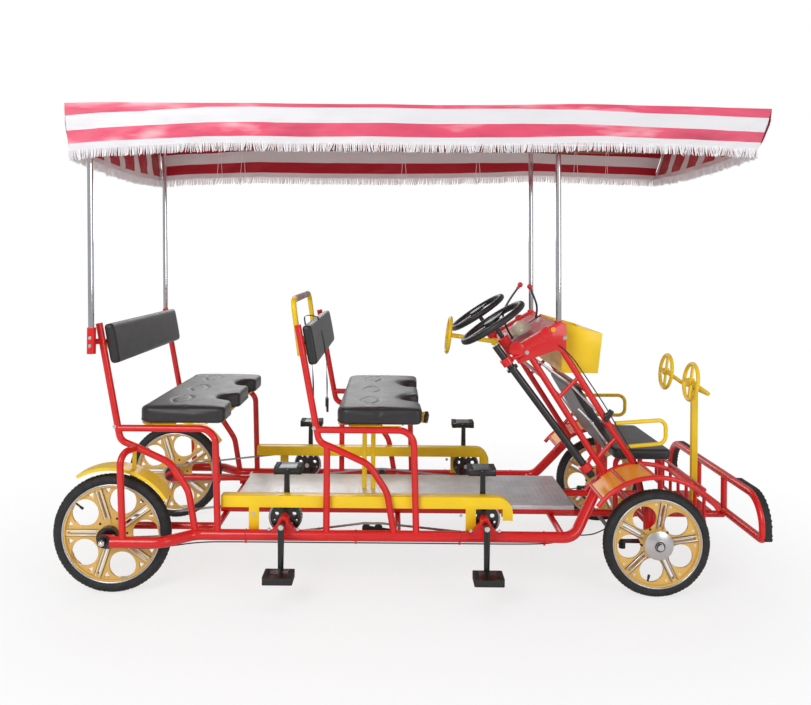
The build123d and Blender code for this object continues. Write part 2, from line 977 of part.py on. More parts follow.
with BuildPart() as seat_pans:
    for bench_name, seat_x in benches:
        block(
            seat_x + pan_start_share * seat_depth,
            seat_x + pan_end_share * seat_depth,
            -bench_half_width + pad_corner,
            bench_half_width - pad_corner,
            pan_z,
            pan_z + pan_thickness,
        )
    for step in (-1, 1):
        post_x = pedestal_x + step * pedestal_pitch / 2
        block(
            post_x - pedestal_size / 2,
            post_x + pedestal_size / 2,
            -pedestal_size / 2,
            pedestal_size / 2,
            floor_z + floor_thickness,
            pan_z,
        )
save(seat_pans, "seat_pans")

for bench_name, seat_x in benches:
    pad_back = seat_x + pad_start_share * seat_depth
    with BuildPart() as seat_pad:
        with BuildSketch(Plane.XY.offset(pad_z)):
            with Locations((pad_back + pad_length / 2, 0)):
                RectangleRounded(pad_length, bench_half_width * 2, pad_corner)
            with Locations(
                (pad_back + pad_length, -scallop_y),
                (pad_back + pad_length, scallop_y),
            ):
                Circle(scallop_radius, mode=Mode.SUBTRACT)
        extrude(amount=pad_thickness)
        chamfer(seat_pad.edges().group_by(Axis.Z)[-1], length=pad_thickness * pad_edge_share)
    save(seat_pad, f"seat_pad_{bench_name}")
    pad_shift = frame_tube_radius + seat_gap + back_pad_thickness / 2
    pad_mid_z = back_pad_low_z + back_pad_height / 2
    pad_mid_x = back_line_x(seat_x, pad_mid_z) + pad_shift / cos(back_lean)
    lean_plane = Plane(
        origin=(pad_mid_x, 0, pad_mid_z),
        x_dir=(0, 1, 0),
        z_dir=(cos(back_lean), 0, sin(back_lean)),
    )
    with BuildPart() as backrest:
        with BuildSketch(lean_plane):
            RectangleRounded(bench_half_width * 2, back_pad_height, back_pad_corner)
        extrude(amount=back_pad_thickness / 2, both=True)
        front_edges = backrest.faces().sort_by(Axis.X)[-1].edges()
        chamfer(front_edges, length=back_pad_thickness * back_pad_edge_share)
    save(backrest, f"backrest_{bench_name}")

# Roof posts
with BuildPart() as roof_posts:
    for side_name, side in sides:
        pipe(
            post_radius,
            [
                (rear_post_foot_x, side * rear_post_y, rear_post_foot_z),
                (rear_post_top_x, side * rear_post_y, roof_tube_z),
            ],
        )
        pipe(
            post_radius,
            [
                (front_post_foot_x, side * front_post_y, front_post_foot_z),
                (front_post_top_x, side * front_post_y, roof_tube_z),
            ],
        )
    block(
        canopy_back_x,
        canopy_front_x,
        -canopy_half_width,
        canopy_half_width,
        post_top_z,
        roof_height,
        Mode.SUBTRACT,
    )
save(roof_posts, "roof_posts")

# Cross bars between the back tubes, and the roof post sockets behind the rear bench
with BuildPart() as back_bars:
    for bench_name, seat_x in benches:
        bar_x = back_line_x(seat_x, back_cross_z)
        pipe(back_cross_radius, [(bar_x, -wheel_y, back_cross_z), (bar_x, wheel_y, back_cross_z)])
    for side_name, side in sides:
        socket_top = rear_post_foot_z + socket_length
        brace_z = rear_post_foot_z + socket_brace_height
        pipe(
            socket_radius,
            [
                (rear_post_foot_x, side * rear_post_y, rear_post_foot_z - post_radius),
                (rear_post_foot_x, side * rear_post_y, socket_top),
            ],
        )
        pipe(
            post_radius,
            [
                (rear_post_foot_x, side * rear_post_y, brace_z),
                (back_line_x(rear_seat_x, brace_z), side * wheel_y, brace_z),
            ],
        )
    for seat_frame_part in seat_frames.values():
        add(seat_frame_part, mode=Mode.SUBTRACT)
    add(roof_posts.part, mode=Mode.SUBTRACT)
save(back_bars, "back_bars")

# Grab bar behind the middle backrest
with BuildPart() as grab_bar:
    grab_low_x = back_line_x(middle_seat_x, grab_low_z)
    grab_x = back_line_x(middle_seat_x, back_cross_z) - back_cross_radius - grab_radius
    pipe(
        grab_radius,
        [
            (grab_x, -grab_half_width, grab_low_z),
            (grab_x - grab_back / 2, -grab_half_width, grab_rise_z),
            (grab_x - grab_back / 2, grab_half_width, grab_rise_z),
            (grab_x, grab_half_width, grab_low_z),
        ],
        [grab_bend, grab_bend],
    )
    add(back_bars.part, mode=Mode.SUBTRACT)
save(grab_bar, "grab_bar")

# Brake lever beside the middle bench
with BuildPart() as seat_lever:
    lever_x = middle_seat_x + pan_end_share * seat_depth - pad_corner * 2
    lever_z = pan_z - lever_radius
    pipe(
        lever_radius,
        [(lever_x, lever_y, lever_z), (lever_x + lever_reach, lever_y, lever_z)],
    )
    pipe(
        lever_knob_radius,
        [
            (lever_x + lever_reach, lever_y, lever_z - lever_knob_radius),
            (lever_x + lever_reach, lever_y, lever_z + lever_knob_radius * 2),
        ],
    )
save(seat_lever, "brake_lever")

# Roof frame: side tubes and cross bows
with BuildPart() as roof_rails:
    for side_name, side in sides:
        pipe(
            roof_tube_radius,
            [
                (canopy_back_x + roof_inset, side * (canopy_half_width - roof_inset), roof_tube_z),
                (canopy_front_x - roof_inset, side * (canopy_half_width - roof_inset), roof_tube_z),
            ],
        )
save(roof_rails, "roof_rails")

with BuildPart() as roof_bows:
    bow_span = canopy_half_width - roof_inset
    roof_length = canopy_front_x - canopy_back_x
    bow_places = [canopy_back_x + share * roof_length for share in bow_place_shares]
    for bow_x in [rear_post_top_x, front_post_top_x] + bow_places:
        pipe(roof_tube_radius, [(bow_x, -bow_span, roof_tube_z), (bow_x, bow_span, roof_tube_z)])
    add(roof_rails.part, mode=Mode.SUBTRACT)
save(roof_bows, "roof_bows")

# Canopy: a shallow open box of cloth with its valance and fringe
with BuildPart() as canopy:
    for inset, top, bottom, mode in (
        (0, roof_height, roof_height - canopy_drop, Mode.ADD),
        (canopy_wall, roof_height - canopy_wall, roof_height - canopy_drop - overrun, Mode.SUBTRACT),
    ):
        with BuildSketch(Plane.XZ.offset(-canopy_half_width + inset)):
            with BuildLine():
                Polyline(
                    (canopy_back_x + inset, top),
                    (canopy_front_x - inset, top),
                    (canopy_front_x - canopy_front_inset - inset, bottom),
                    (canopy_back_x + canopy_back_inset + inset, bottom),
                    close=True,
                )
            make_face()
        extrude(amount=2 * (canopy_half_width - inset), mode=mode)
save(canopy, "canopy")


# Tower side ladders
def tower_point(share, y):
    """A point of the tower from its shares of reach and drop."""
    return (tower_front_x + share[0] * tower_reach, y, tower_front_z - share[1] * tower_drop)


with BuildPart() as axle_beam:
    pipe(
        beam_radius,
        [(front_axle_x, -kingpin_y, beam_z), (front_axle_x, kingpin_y, beam_z)],
    )
    for side_name, side in sides:
        with BuildSketch(Plane.XY.offset(housing_low_z)):
            with Locations((front_axle_x, side * kingpin_y)):
                Circle(housing_radius)
        extrude(amount=housing_high_z - housing_low_z)
        with BuildSketch(Plane.XY.offset(housing_low_z - overrun)):
            with Locations((front_axle_x, side * kingpin_y)):
                Circle(kingpin_radius + run_clearance)
        extrude(amount=housing_high_z - housing_low_z + overrun * 2, mode=Mode.SUBTRACT)
save(axle_beam, "axle_beam")

column_start = Vector(column_top_x, -column_y, column_top_z)
column_run = Vector(column_low_x, -column_y, column_low_z) - column_start
column_way = column_run.normalized()
with BuildPart() as tower:
    for side_name, side in sides:
        y = side * tower_y
        front_points = [tower_point(share, y) for share in tower_front_shares]
        pipe(frame_tube_radius, front_points, [rail_bend] * (len(front_points) - 2))
        rear_points = [tower_point(share, y) for share in tower_rear_shares]
        pipe(frame_tube_radius, rear_points, [tower_rear_bend])
        for low, high in tower_rung_shares:
            pipe(rung_radius, [tower_point(low, y), tower_point(high, y)])
    for share, lean_share in bearing_shares:
        bearing_middle = column_start + column_run * share
        pipe(
            bearing_radius,
            [
                bearing_middle - column_way * (bearing_length / 2),
                bearing_middle + column_way * (bearing_length / 2),
            ],
        )
        pipe(rung_radius, [bearing_middle, tower_point(lean_share, -tower_y)])
    pipe(
        column_radius + run_clearance,
        [column_start - column_way * overrun, column_start + column_run + column_way * overrun],
        mode=Mode.SUBTRACT,
    )
    add(side_rails.part, mode=Mode.SUBTRACT)
    add(axle_beam.part, mode=Mode.SUBTRACT)
save(tower, "tower")

# Cross tubes of the tower
with BuildPart() as tower_bars:
    for share in tower_bar_shares:
        pipe(rung_radius, [tower_point(share, -tower_y), tower_point(share, tower_y)])
    add(tower.part, mode=Mode.SUBTRACT)
save(tower_bars, "tower_bars")

# Dash tray with side plates and the bearings of both steering shafts
steer_way = Vector(-cos(radians(steer_angle)), 0, sin(radians(steer_angle)))
with BuildPart() as dash_tray:
    slab(
        [
            (dash_low_x, dash_low_z),
            (dash_high_x, dash_high_z),
            (dash_high_x, dash_high_z - dash_sheet),
            (dash_low_x, dash_low_z - dash_sheet),
        ],
        0,
        tower_y * 2,
    )
    for side_name, side in sides:
        slab(
            [
                (dash_low_x - dash_sheet, dash_low_z + dash_crown),
                (dash_high_x, dash_high_z + dash_crown),
                (tower_front_x + frame_tube_radius, dash_high_z),
                (tower_front_x + frame_tube_radius, tower_front_z - frame_tube_radius),
                (tower_front_x - gusset_plate_width / 2, tower_front_z),
                (dash_low_x + gusset_plate_width / 2, dash_low_z - dash_side_height),
            ],
            side * tower_y,
            dash_side_thickness,
        )
        wheel_middle = Vector(steer_x, side * steer_y, steer_z)
        shaft_end = wheel_middle - steer_way * steer_shaft_length
        pipe(
            bearing_radius,
            [shaft_end + steer_way * bearing_length, shaft_end - steer_way * steer_bearing_depth],
        )
    for side_name, side in sides:
        wheel_middle = Vector(steer_x, side * steer_y, steer_z)
        pipe(
            steer_shaft_radius + run_clearance,
            [wheel_middle, wheel_middle - steer_way * (steer_shaft_length + overrun)],
            mode=Mode.SUBTRACT,
        )
        pipe(
            steer_shaft_radius + overrun,
            [wheel_middle, wheel_middle - steer_way * (steer_shaft_length - bearing_length)],
            mode=Mode.SUBTRACT,
        )
    add(tower.part, mode=Mode.SUBTRACT)
    add(roof_posts.part, mode=Mode.SUBTRACT)
save(dash_tray, "dash_tray")

# Steering wheels with their shafts
for side_name, side in sides:
    wheel_plane = Plane(
        origin=(steer_x, side * steer_y, steer_z), x_dir=(0, 1, 0), z_dir=steer_way
    )
    with BuildPart(wheel_plane) as steering_wheel:
        Torus(steer_wheel_radius - steer_rim_radius, steer_rim_radius)
        with BuildSketch(wheel_plane):
            spoke_length = steer_wheel_radius - steer_rim_radius
            with PolarLocations(spoke_length / 2, 3, steer_spoke_start_angle):
                Rectangle(spoke_length, steer_spoke_width)
        extrude(amount=steer_spoke_thickness / 2, both=True)
        with BuildSketch(wheel_plane):
            Circle(steer_hub_radius)
        extrude(amount=steer_hub_length / 2, both=True)
        with BuildSketch(wheel_plane):
            Circle(steer_shaft_radius)
        extrude(amount=-steer_shaft_length)
    save(steering_wheel, f"steering_wheel_{side_name}")

# Steering column on the driver's side
collar_start = column_start + column_run * bearing_shares[0][0] + column_way * bearing_length
with BuildPart() as column:
    pipe(column_radius, [column_start, column_start + column_run])
    pipe(
        bearing_radius,
        [
            collar_start,
            collar_start + column_way * column_collar_length,
        ],
    )
save(column, "steering_column")

# Toy steering wheels: two on a post in front of the child seat, one on the dash
toys = (
    # hub place, direction the hub faces
    (Vector(toy_wheel_x, -toy_wheel_y, toy_wheel_z), Vector(-1, 0, toy_lean_share)),
    (Vector(toy_wheel_x, toy_wheel_y, toy_wheel_z), Vector(-1, 0, toy_lean_share)),
    (Vector(dash_toy_x, 0, dash_toy_z), Vector(-1, 0, toy_lean_share)),
)
with BuildPart() as toy_wheels:
    for toy_middle, toy_way in toys:
        toy_plane = Plane(origin=toy_middle, x_dir=(0, 1, 0), z_dir=toy_way)
        add(toy_plane * Torus(toy_radius - toy_rim_radius, toy_rim_radius, mode=Mode.PRIVATE))
        with BuildSketch(toy_plane):
            with PolarLocations((toy_radius - toy_rim_radius) / 2, 4, toy_spoke_start_angle):
                Rectangle(toy_radius - toy_rim_radius, toy_rim_radius * 2)
        extrude(amount=toy_rim_radius / 2, both=True)
        with BuildSketch(toy_plane):
            Circle(toy_hub_radius)
        extrude(amount=toy_hub_length / 2, both=True)
save(toy_wheels, "toy_wheels")

with BuildPart() as toy_post:
    block(
        toy_post_x - toy_post_size / 2,
        toy_post_x + toy_post_size / 2,
        -toy_post_size / 2,
        toy_post_size / 2,
        rail_z + long_tube_radius + floor_thickness,
        toy_post_top_z,
    )
    arm_z = toy_post_top_z - toy_post_size
    pipe(toy_arm_radius, [(toy_post_x, -toy_wheel_y, arm_z), (toy_post_x, toy_wheel_y, arm_z)])
    for side_name, side in sides:
        pipe(
            toy_arm_radius,
            [
                (toy_post_x, side * toy_wheel_y, arm_z),
                (toy_wheel_x, side * toy_wheel_y, toy_wheel_z),
            ],
        )
    pipe(
        dash_toy_shaft_radius,
        [
            (dash_toy_x, 0, dash_toy_z),
            (dash_low_x + dash_sheet, 0, dash_low_z + dash_sheet),
        ],
    )
    add(toy_wheels.part, mode=Mode.SUBTRACT)
    add(dash_tray.part, mode=Mode.SUBTRACT)
save(toy_post, "toy_post")

# Basket hung on the front of the tower
basket_back_x = tower_front_x + frame_tube_radius + seat_gap
with BuildPart() as basket:
    for inset, mode in ((0, Mode.ADD), (basket_wall, Mode.SUBTRACT)):
        with BuildSketch(Plane.XZ.offset(-basket_half_width + inset)):
            with BuildLine():
                Polyline(
                    (basket_back_x + inset, basket_top_z + (overrun if inset else 0)),
                    (basket_front_x - inset, basket_front_top_z + (overrun if inset else 0)),
                    (basket_front_x - basket_taper - inset, basket_bottom_z + inset),
                    (basket_back_x + inset, basket_bottom_z + inset),
                    close=True,
                )
            make_face()
        extrude(amount=2 * (basket_half_width - inset), mode=mode)
save(basket, "basket")

# Front bumper: a bent loop with two uprights
with BuildPart() as bumper:
    with BuildLine() as bumper_loop:
        FilletPolyline(
            (bumper_x, -bumper_half_width, bumper_low_z),
            (bumper_x, -bumper_half_width, bumper_top_z),
            (bumper_x, bumper_half_width, bumper_top_z),
            (bumper_x, bumper_half_width, bumper_low_z),
            radius=[bumper_foot, bumper_corner, bumper_corner, bumper_foot],
            close=True,
        )
    with BuildSketch(Plane(origin=bumper_loop.line @ 0, z_dir=bumper_loop.line % 0)):
        Circle(bumper_tube_radius)
    sweep(path=bumper_loop.line)
    for side_name, side in sides:
        pipe(
            bumper_upright_radius,
            [
                (bumper_x, side * long_tube_y, bumper_low_z),
                (bumper_x, side * long_tube_y, bumper_top_z),
            ],
        )
save(bumper, "bumper")

with BuildPart() as rubber:
    for side_name, side in sides:
        with BuildSketch(Plane.YZ.offset(bumper_x)):
            with BuildLine():
                FilletPolyline(
                    (side * rubber_inner_y, bumper_top_z),
                    (side * bumper_half_width, bumper_top_z),
                    (side * bumper_half_width, bumper_low_z),
                    radius=bumper_corner,
                )
            trace(line_width=bumper_tube_radius * 2)
        extrude(amount=overall_length / 2 - bumper_x)
    add(bumper.part, mode=Mode.SUBTRACT)
save(rubber, "bumper_rubber")

# Front frame: two long tubes, foot grille, seat hoops and the plate of the toy post
guard_low_z = rail_z + long_tube_radius + guard_bar_radius - weld_depth
seat_hoop_z = child_seat_z - seat_gap - child_tube_radius
with BuildPart() as front_frame:
    for side_name, side in sides:
        pipe(
            long_tube_radius,
            [
                (cross_tube_x[2], side * long_tube_y, rail_z),
                (bumper_x, side * long_tube_y, rail_z),
            ],
        )
    for bar_z in (guard_low_z, front_guard_top_z):
        pipe(
            guard_bar_radius,
            [
                (front_guard_x, -front_guard_half_width, bar_z),
                (front_guard_x, front_guard_half_width, bar_z),
            ],
        )
    bar_step = 2 * (front_guard_half_width - guard_bar_radius) / (front_guard_bar_count - 1)
    for index in range(front_guard_bar_count):
        bar_y = index * bar_step - front_guard_half_width + guard_bar_radius
        pipe(
            guard_bar_radius,
            [(front_guard_x, bar_y, guard_low_z), (front_guard_x, bar_y, front_guard_top_z)],
        )
    block(
        toy_post_x - toy_post_size,
        toy_post_x + toy_post_size,
        -long_tube_y,
        long_tube_y,
        rail_z + long_tube_radius - floor_thickness,
        rail_z + long_tube_radius + floor_thickness,
    )
    for side_name, side in sides:
        back_leg_x = child_seat_back_x + child_tube_bend
        front_leg_x = child_seat_front_x - child_tube_radius
        pipe(
            child_tube_radius,
            [
                (back_leg_x, side * long_tube_y, rail_z),
                (back_leg_x, side * long_tube_y, seat_hoop_z),
                (front_leg_x, side * long_tube_y, seat_hoop_z),
                (front_leg_x, side * long_tube_y, rail_z),
            ],
            [child_tube_bend, child_tube_bend],
        )
    add(bumper.part, mode=Mode.SUBTRACT)
    add(cross_tubes.part, mode=Mode.SUBTRACT)
    add(axle_beam.part, mode=Mode.SUBTRACT)
save(front_frame, "front_frame")

# Child seat: pad, leaning back pad and armrests
with BuildPart() as child_pad:
    child_length = child_seat_front_x - child_seat_back_x
    with BuildSketch(Plane.XY.offset(child_seat_z)):
        with Locations((child_seat_back_x + child_length / 2, 0)):
            RectangleRounded(child_length, child_half_width * 2, pad_corner)
    extrude(amount=child_seat_thickness)
    chamfer(child_pad.edges().group_by(Axis.Z)[-1], length=child_seat_thickness * child_pad_edge_share)
save(child_pad, "child_seat_pad")

back_up = Vector(-sin(radians(child_back_lean_angle)), 0, cos(radians(child_back_lean_angle)))
back_out = Vector(cos(radians(child_back_lean_angle)), 0, sin(radians(child_back_lean_angle)))
back_rest_bar = Vector(*tower_point(tower_bar_shares[0], 0))
child_back_middle = (
    back_rest_bar
    - back_out * (child_back_thickness / 2 + rung_radius + seat_gap)
    - back_up * (child_back_height * child_back_hold_share)
)
with BuildPart() as child_back:
    with BuildSketch(Plane(origin=child_back_middle, x_dir=(0, 1, 0), z_dir=back_out)):
        RectangleRounded(child_half_width * 2, child_back_height, pad_corner)
    extrude(amount=child_back_thickness / 2, both=True)
save(child_back, "child_backrest")

with BuildPart() as armrests:
    for side_name, side in sides:
        pipe(
            armrest_radius,
            [
                tower_point(armrest_high_share, side * tower_y),
                (armrest_front_x, side * armrest_y, armrest_high_z),
                (armrest_front_x, side * armrest_y, armrest_low_z),
                tower_point(armrest_low_share, side * tower_y),
            ],
            [armrest_bend, armrest_bend],
        )
    add(tower.part, mode=Mode.SUBTRACT)
save(armrests, "armrests")

# Knuckles: kingpin, block, stub axle and steering arm
arm_z = knuckle_low_z + steer_arm_thickness / 2
for side_name, side in sides:
    with BuildPart() as knuckle:
        for radius, low, high in (
            (knuckle_radius, knuckle_low_z, housing_low_z - knuckle_gap),
            (kingpin_radius, knuckle_low_z, housing_high_z + knuckle_gap + axle_nut_length),
            (
                axle_nut_radius,
                housing_high_z + knuckle_gap,
                housing_high_z + knuckle_gap + axle_nut_length,
            ),
        ):
            with BuildSketch(Plane.XY.offset(low)):
                with Locations((front_axle_x, side * kingpin_y)):
                    Circle(radius)
            extrude(amount=high - low)
        stub_end = wheel_y + hub_length / 2 + hub_cap_length + axle_nut_length
        rod_y(front_axle_x, front_axle_z, side * kingpin_y, side * stub_end, axle_radius)
        rod_y(
            front_axle_x,
            front_axle_z,
            side * (stub_end - axle_nut_length + knuckle_gap),
            side * stub_end,
            axle_nut_radius,
        )
        with BuildSketch(Plane.XY.offset(knuckle_low_z)):
            with Locations((front_axle_x, side * kingpin_y)):
                Circle(steer_arm_root_radius)
            with Locations((front_axle_x - steer_arm_length, side * kingpin_y)):
                Circle(steer_arm_width / 2)
            make_hull()
        extrude(amount=steer_arm_thickness)
        play = run_clearance if side < 0 else tie_open_play
        with BuildSketch(Plane.XY.offset(knuckle_low_z - overrun)):
            with Locations((front_axle_x - steer_arm_length, side * kingpin_y)):
                Circle(tie_pin_radius + play)
        extrude(amount=steer_arm_thickness + overrun * 2, mode=Mode.SUBTRACT)
    save(knuckle, f"knuckle_{side_name}")

with BuildPart() as tie_rod:
    rod_z = knuckle_low_z - knuckle_gap - tie_rod_radius - weld_depth
    tie_x = front_axle_x - steer_arm_length
    pipe(tie_rod_radius, [(tie_x, -kingpin_y, rod_z), (tie_x, kingpin_y, rod_z)])
    for side_name, side in sides:
        for radius, low, high in (
            (
                tie_eye_radius,
                rod_z - tie_rod_radius - weld_depth,
                rod_z + tie_rod_radius + weld_depth,
            ),
            (tie_pin_radius, rod_z, knuckle_low_z + steer_arm_thickness + knuckle_gap),
        ):
            with BuildSketch(Plane.XY.offset(low)):
                with Locations((tie_x, side * kingpin_y)):
                    Circle(radius)
            extrude(amount=high - low)
save(tie_rod, "tie_rod")

# Front fenders: bent tube frames with cross bars, and their panels
front_arc_center = (front_fender_center_x, front_fender_center_z)


def arc_point(angle, radius, y):
    """A point on the front fender's arc."""
    return (
        front_fender_center_x + radius * cos(radians(angle)),
        y,
        front_fender_center_z + radius * sin(radians(angle)),
    )


with BuildPart() as fender_frames:
    for side_name, side in sides:
        for edge_y in (fender_inner_y, fender_inner_y + front_fender_width):
            y = side * edge_y
            with BuildLine() as rim_line:
                ThreePointArc(
                    arc_point(front_fender_start_angle, front_fender_radius, y),
                    arc_point(
                        (front_fender_start_angle + front_fender_end_angle) / 2, front_fender_radius, y
                    ),
                    arc_point(front_fender_end_angle, front_fender_radius, y),
                )
            with BuildSketch(Plane(origin=rim_line.line @ 0, z_dir=rim_line.line % 0)) as section:
                Circle(fender_tube_radius)
            sweep(section.sketch, path=rim_line.line)
        for share in fender_bar_shares:
            angle = front_fender_start_angle + share * (front_fender_end_angle - front_fender_start_angle)
            bar_start = arc_point(angle, front_fender_radius, side * fender_inner_y)
            bar_end = arc_point(
                angle, front_fender_radius, side * (fender_inner_y + front_fender_width)
            )
            pipe(fender_bar_radius, [bar_start, bar_end])
    add(tower.part, mode=Mode.SUBTRACT)
    add(side_rails.part, mode=Mode.SUBTRACT)
save(fender_frames, "fender_frames")

with BuildPart() as fender_panels:
    for side_name, side in sides:
        panel_y = side * (fender_inner_y + front_fender_width / 2)
        for start_share, end_share in fender_panel_shares:
            span = front_fender_end_angle - front_fender_start_angle
            start_angle = front_fender_start_angle + start_share * span
            end_angle = front_fender_start_angle + end_share * span
            with BuildSketch(Plane.XZ.offset(-panel_y)):
                with BuildLine():
                    for radius in (front_fender_radius, front_fender_radius + fender_thickness):
                        CenterArc(front_arc_center, radius, start_angle, end_angle - start_angle)
                    for angle in (start_angle, end_angle):
                        inner_point = arc_point(angle, front_fender_radius, 0)
                        outer_point = arc_point(angle, front_fender_radius + fender_thickness, 0)
                        Line((inner_point[0], inner_point[2]), (outer_point[0], outer_point[2]))
                make_face()
            extrude(amount=front_fender_width / 2, both=True)
    add(fender_frames.part, mode=Mode.SUBTRACT)
    add(tower.part, mode=Mode.SUBTRACT)
    add(side_rails.part, mode=Mode.SUBTRACT)
save(fender_panels, "fender_panels")

# Rear fenders: turned sheet with side lips and a strut up to the bench frame
with BuildPart() as rear_fenders:
    for side_name, side in sides:
        span = rear_fender_end_angle - rear_fender_start_angle
        wheel_place = (rear_axle_x, rear_axle_z)
        for width, low_radius, high_radius, mode in (
            (rear_fender_width, rear_fender_radius - fender_lip, rear_fender_radius, Mode.ADD),
            (
                rear_fender_width - fender_thickness * 2,
                rear_fender_radius - fender_lip - overrun,
                rear_fender_radius - fender_thickness,
                Mode.SUBTRACT,
            ),
        ):
            with BuildSketch(Plane.XZ.offset(-side * wheel_y)):
                with BuildLine():
                    for radius in (low_radius, high_radius):
                        CenterArc(wheel_place, radius, rear_fender_start_angle, span)
                    for angle in (rear_fender_start_angle, rear_fender_end_angle):
                        way = (cos(radians(angle)), sin(radians(angle)))
                        Line(
                            (rear_axle_x + low_radius * way[0], rear_axle_z + low_radius * way[1]),
                            (
                                rear_axle_x + high_radius * way[0],
                                rear_axle_z + high_radius * way[1],
                            ),
                        )
                make_face()
            extrude(amount=width / 2, both=True, mode=mode)
        strut_angle = rear_fender_start_angle + span * rear_strut_share
        strut_x = rear_axle_x + (rear_fender_radius - fender_thickness) * cos(radians(strut_angle))
        strut_low = rear_axle_z + (rear_fender_radius - fender_thickness) * sin(radians(strut_angle))
        pipe(
            rung_radius,
            [
                (strut_x, side * wheel_y, strut_low),
                (strut_x, side * wheel_y, seat_rail_z * strut_rise_share),
            ],
        )
    add(seat_frames["rear"], mode=Mode.SUBTRACT)
save(rear_fenders, "rear_fenders")
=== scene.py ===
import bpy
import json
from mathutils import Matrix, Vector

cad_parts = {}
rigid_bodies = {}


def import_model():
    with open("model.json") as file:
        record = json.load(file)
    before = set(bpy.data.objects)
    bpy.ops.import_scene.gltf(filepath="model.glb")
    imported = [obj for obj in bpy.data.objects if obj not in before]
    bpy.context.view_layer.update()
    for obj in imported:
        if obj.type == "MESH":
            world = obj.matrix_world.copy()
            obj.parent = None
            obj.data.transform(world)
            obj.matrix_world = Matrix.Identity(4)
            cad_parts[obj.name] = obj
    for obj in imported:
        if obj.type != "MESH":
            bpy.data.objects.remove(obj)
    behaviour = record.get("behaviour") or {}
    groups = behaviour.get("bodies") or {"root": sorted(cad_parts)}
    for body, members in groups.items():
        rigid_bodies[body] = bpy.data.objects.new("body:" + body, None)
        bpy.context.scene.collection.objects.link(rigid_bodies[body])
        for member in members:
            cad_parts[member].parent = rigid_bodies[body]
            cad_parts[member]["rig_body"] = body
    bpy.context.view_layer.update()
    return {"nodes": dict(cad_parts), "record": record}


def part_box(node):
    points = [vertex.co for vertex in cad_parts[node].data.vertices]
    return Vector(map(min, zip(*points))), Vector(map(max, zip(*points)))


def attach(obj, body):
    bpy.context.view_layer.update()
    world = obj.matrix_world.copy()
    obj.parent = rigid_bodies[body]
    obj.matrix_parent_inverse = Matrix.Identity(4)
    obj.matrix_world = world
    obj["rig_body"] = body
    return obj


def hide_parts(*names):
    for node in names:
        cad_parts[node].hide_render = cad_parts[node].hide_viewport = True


bl_info = {
    "name": "Surrey quadricycle",
    "version": (1, 0, 0),
    "blender": (4, 5, 0),
    "location": "View3D > Sidebar > Surrey",
    "description": "Builds the finished surfaces, soft goods and small parts of a surrey quadricycle",
    "category": "Object",
}

import json
from contextlib import contextmanager
from math import atan2, cos, exp, pi, radians, sin, sqrt

import bpy
from mathutils import Matrix, Vector, noise

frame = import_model()
NODES = frame["nodes"]
SIDES = (("right", -1), ("left", 1))
# x, z and radius of the wheels, then the angle of the first spoke
HUBS = {
    "rear": (-1.1415, 0.2285, 0.2285, 36),
    "front": (0.9585, 0.207, 0.207, 8),
}
WHEEL_Y = 0.44
# the cast wheel's share of the wheel's radius
RIM_SHARE = 0.836
# x of the cranks; how far out each of a set's two arms is, and the way it faces from the side rail
CRANKS = {"rear": -0.480, "front": 0.295}
ARMS = ((0.520, 1), (0.364, -1))
CRANK_Z = 0.282
ARM_LENGTH = 0.165
# x of the two seat frames' back legs
SEATS = (-1.122, -0.355)
# lean of the backrests from upright, and the dash tray's slope
BACK_LEAN = 0.1882
TRAY_SLOPE = 0.5395
MERGE_DISTANCE = 0.00002
FLAT_ANGLE = 0.5


# ---- shared modelling steps


def deselect():
    """Leaves nothing selected and no edit mode open."""
    if bpy.context.object and bpy.context.object.mode != "OBJECT":
        bpy.ops.object.mode_set(mode="OBJECT")
    bpy.ops.object.select_all(action="DESELECT")


def pick(*objects):
    """Selects the objects and makes the first one active."""
    deselect()
    for item in objects:
        item.select_set(True)
    bpy.context.view_layer.objects.active = objects[0]


@contextmanager
def edit_mode(piece):
    """Opens a piece for mesh steps with all of it selected."""
    pick(piece)
    bpy.ops.object.mode_set(mode="EDIT")
    bpy.ops.mesh.select_all(action="SELECT")
    yield
    bpy.ops.object.mode_set(mode="OBJECT")


def outwards(piece):
    """Turns every face of a closed piece outwards."""
    with edit_mode(piece):
        bpy.ops.mesh.normals_make_consistent(inside=False)
    return piece


def copied(piece):
    """A copy of a piece with its own mesh."""
    copy = piece.copy()
    copy.data = piece.data.copy()
    bpy.context.collection.objects.link(copy)
    return copy


def applied(piece, kind, **settings):
    """Puts one modifier on a piece with its settings and applies it."""
    pick(piece)
    step = piece.modifiers.new("step", kind)
    for name, value in settings.items():
        setattr(step, name, value)
    bpy.ops.object.modifier_apply(modifier=step.name)
    return piece

def settle(piece, name=None):
    """Puts the object's place, turn and size into its mesh."""
    pick(piece)
    bpy.ops.object.transform_apply(location=True, rotation=True, scale=True)
    if name:
        piece.name = name
        piece.data.name = name
    return piece


def smooth(piece, angle=35):
    """Smooth shading with sharp edges kept."""
    pick(piece)
    bpy.ops.object.shade_smooth_by_angle(angle=radians(angle))
    return piece


def bevelled(piece, width, segments=2, angle=40):
    """Rounds the sharp edges of a piece."""
    applied(piece, "BEVEL", width=width, segments=segments, limit_method="ANGLE",
            angle_limit=radians(angle), use_clamp_overlap=True)
    return smooth(piece, 40)


def joined(pieces, name):
    """Joins like pieces into one mesh."""
    pick(*pieces)
    if len(pieces) > 1:
        bpy.ops.object.join()
    piece = bpy.context.object
    piece.name = name
    piece.data.name = name
    return piece


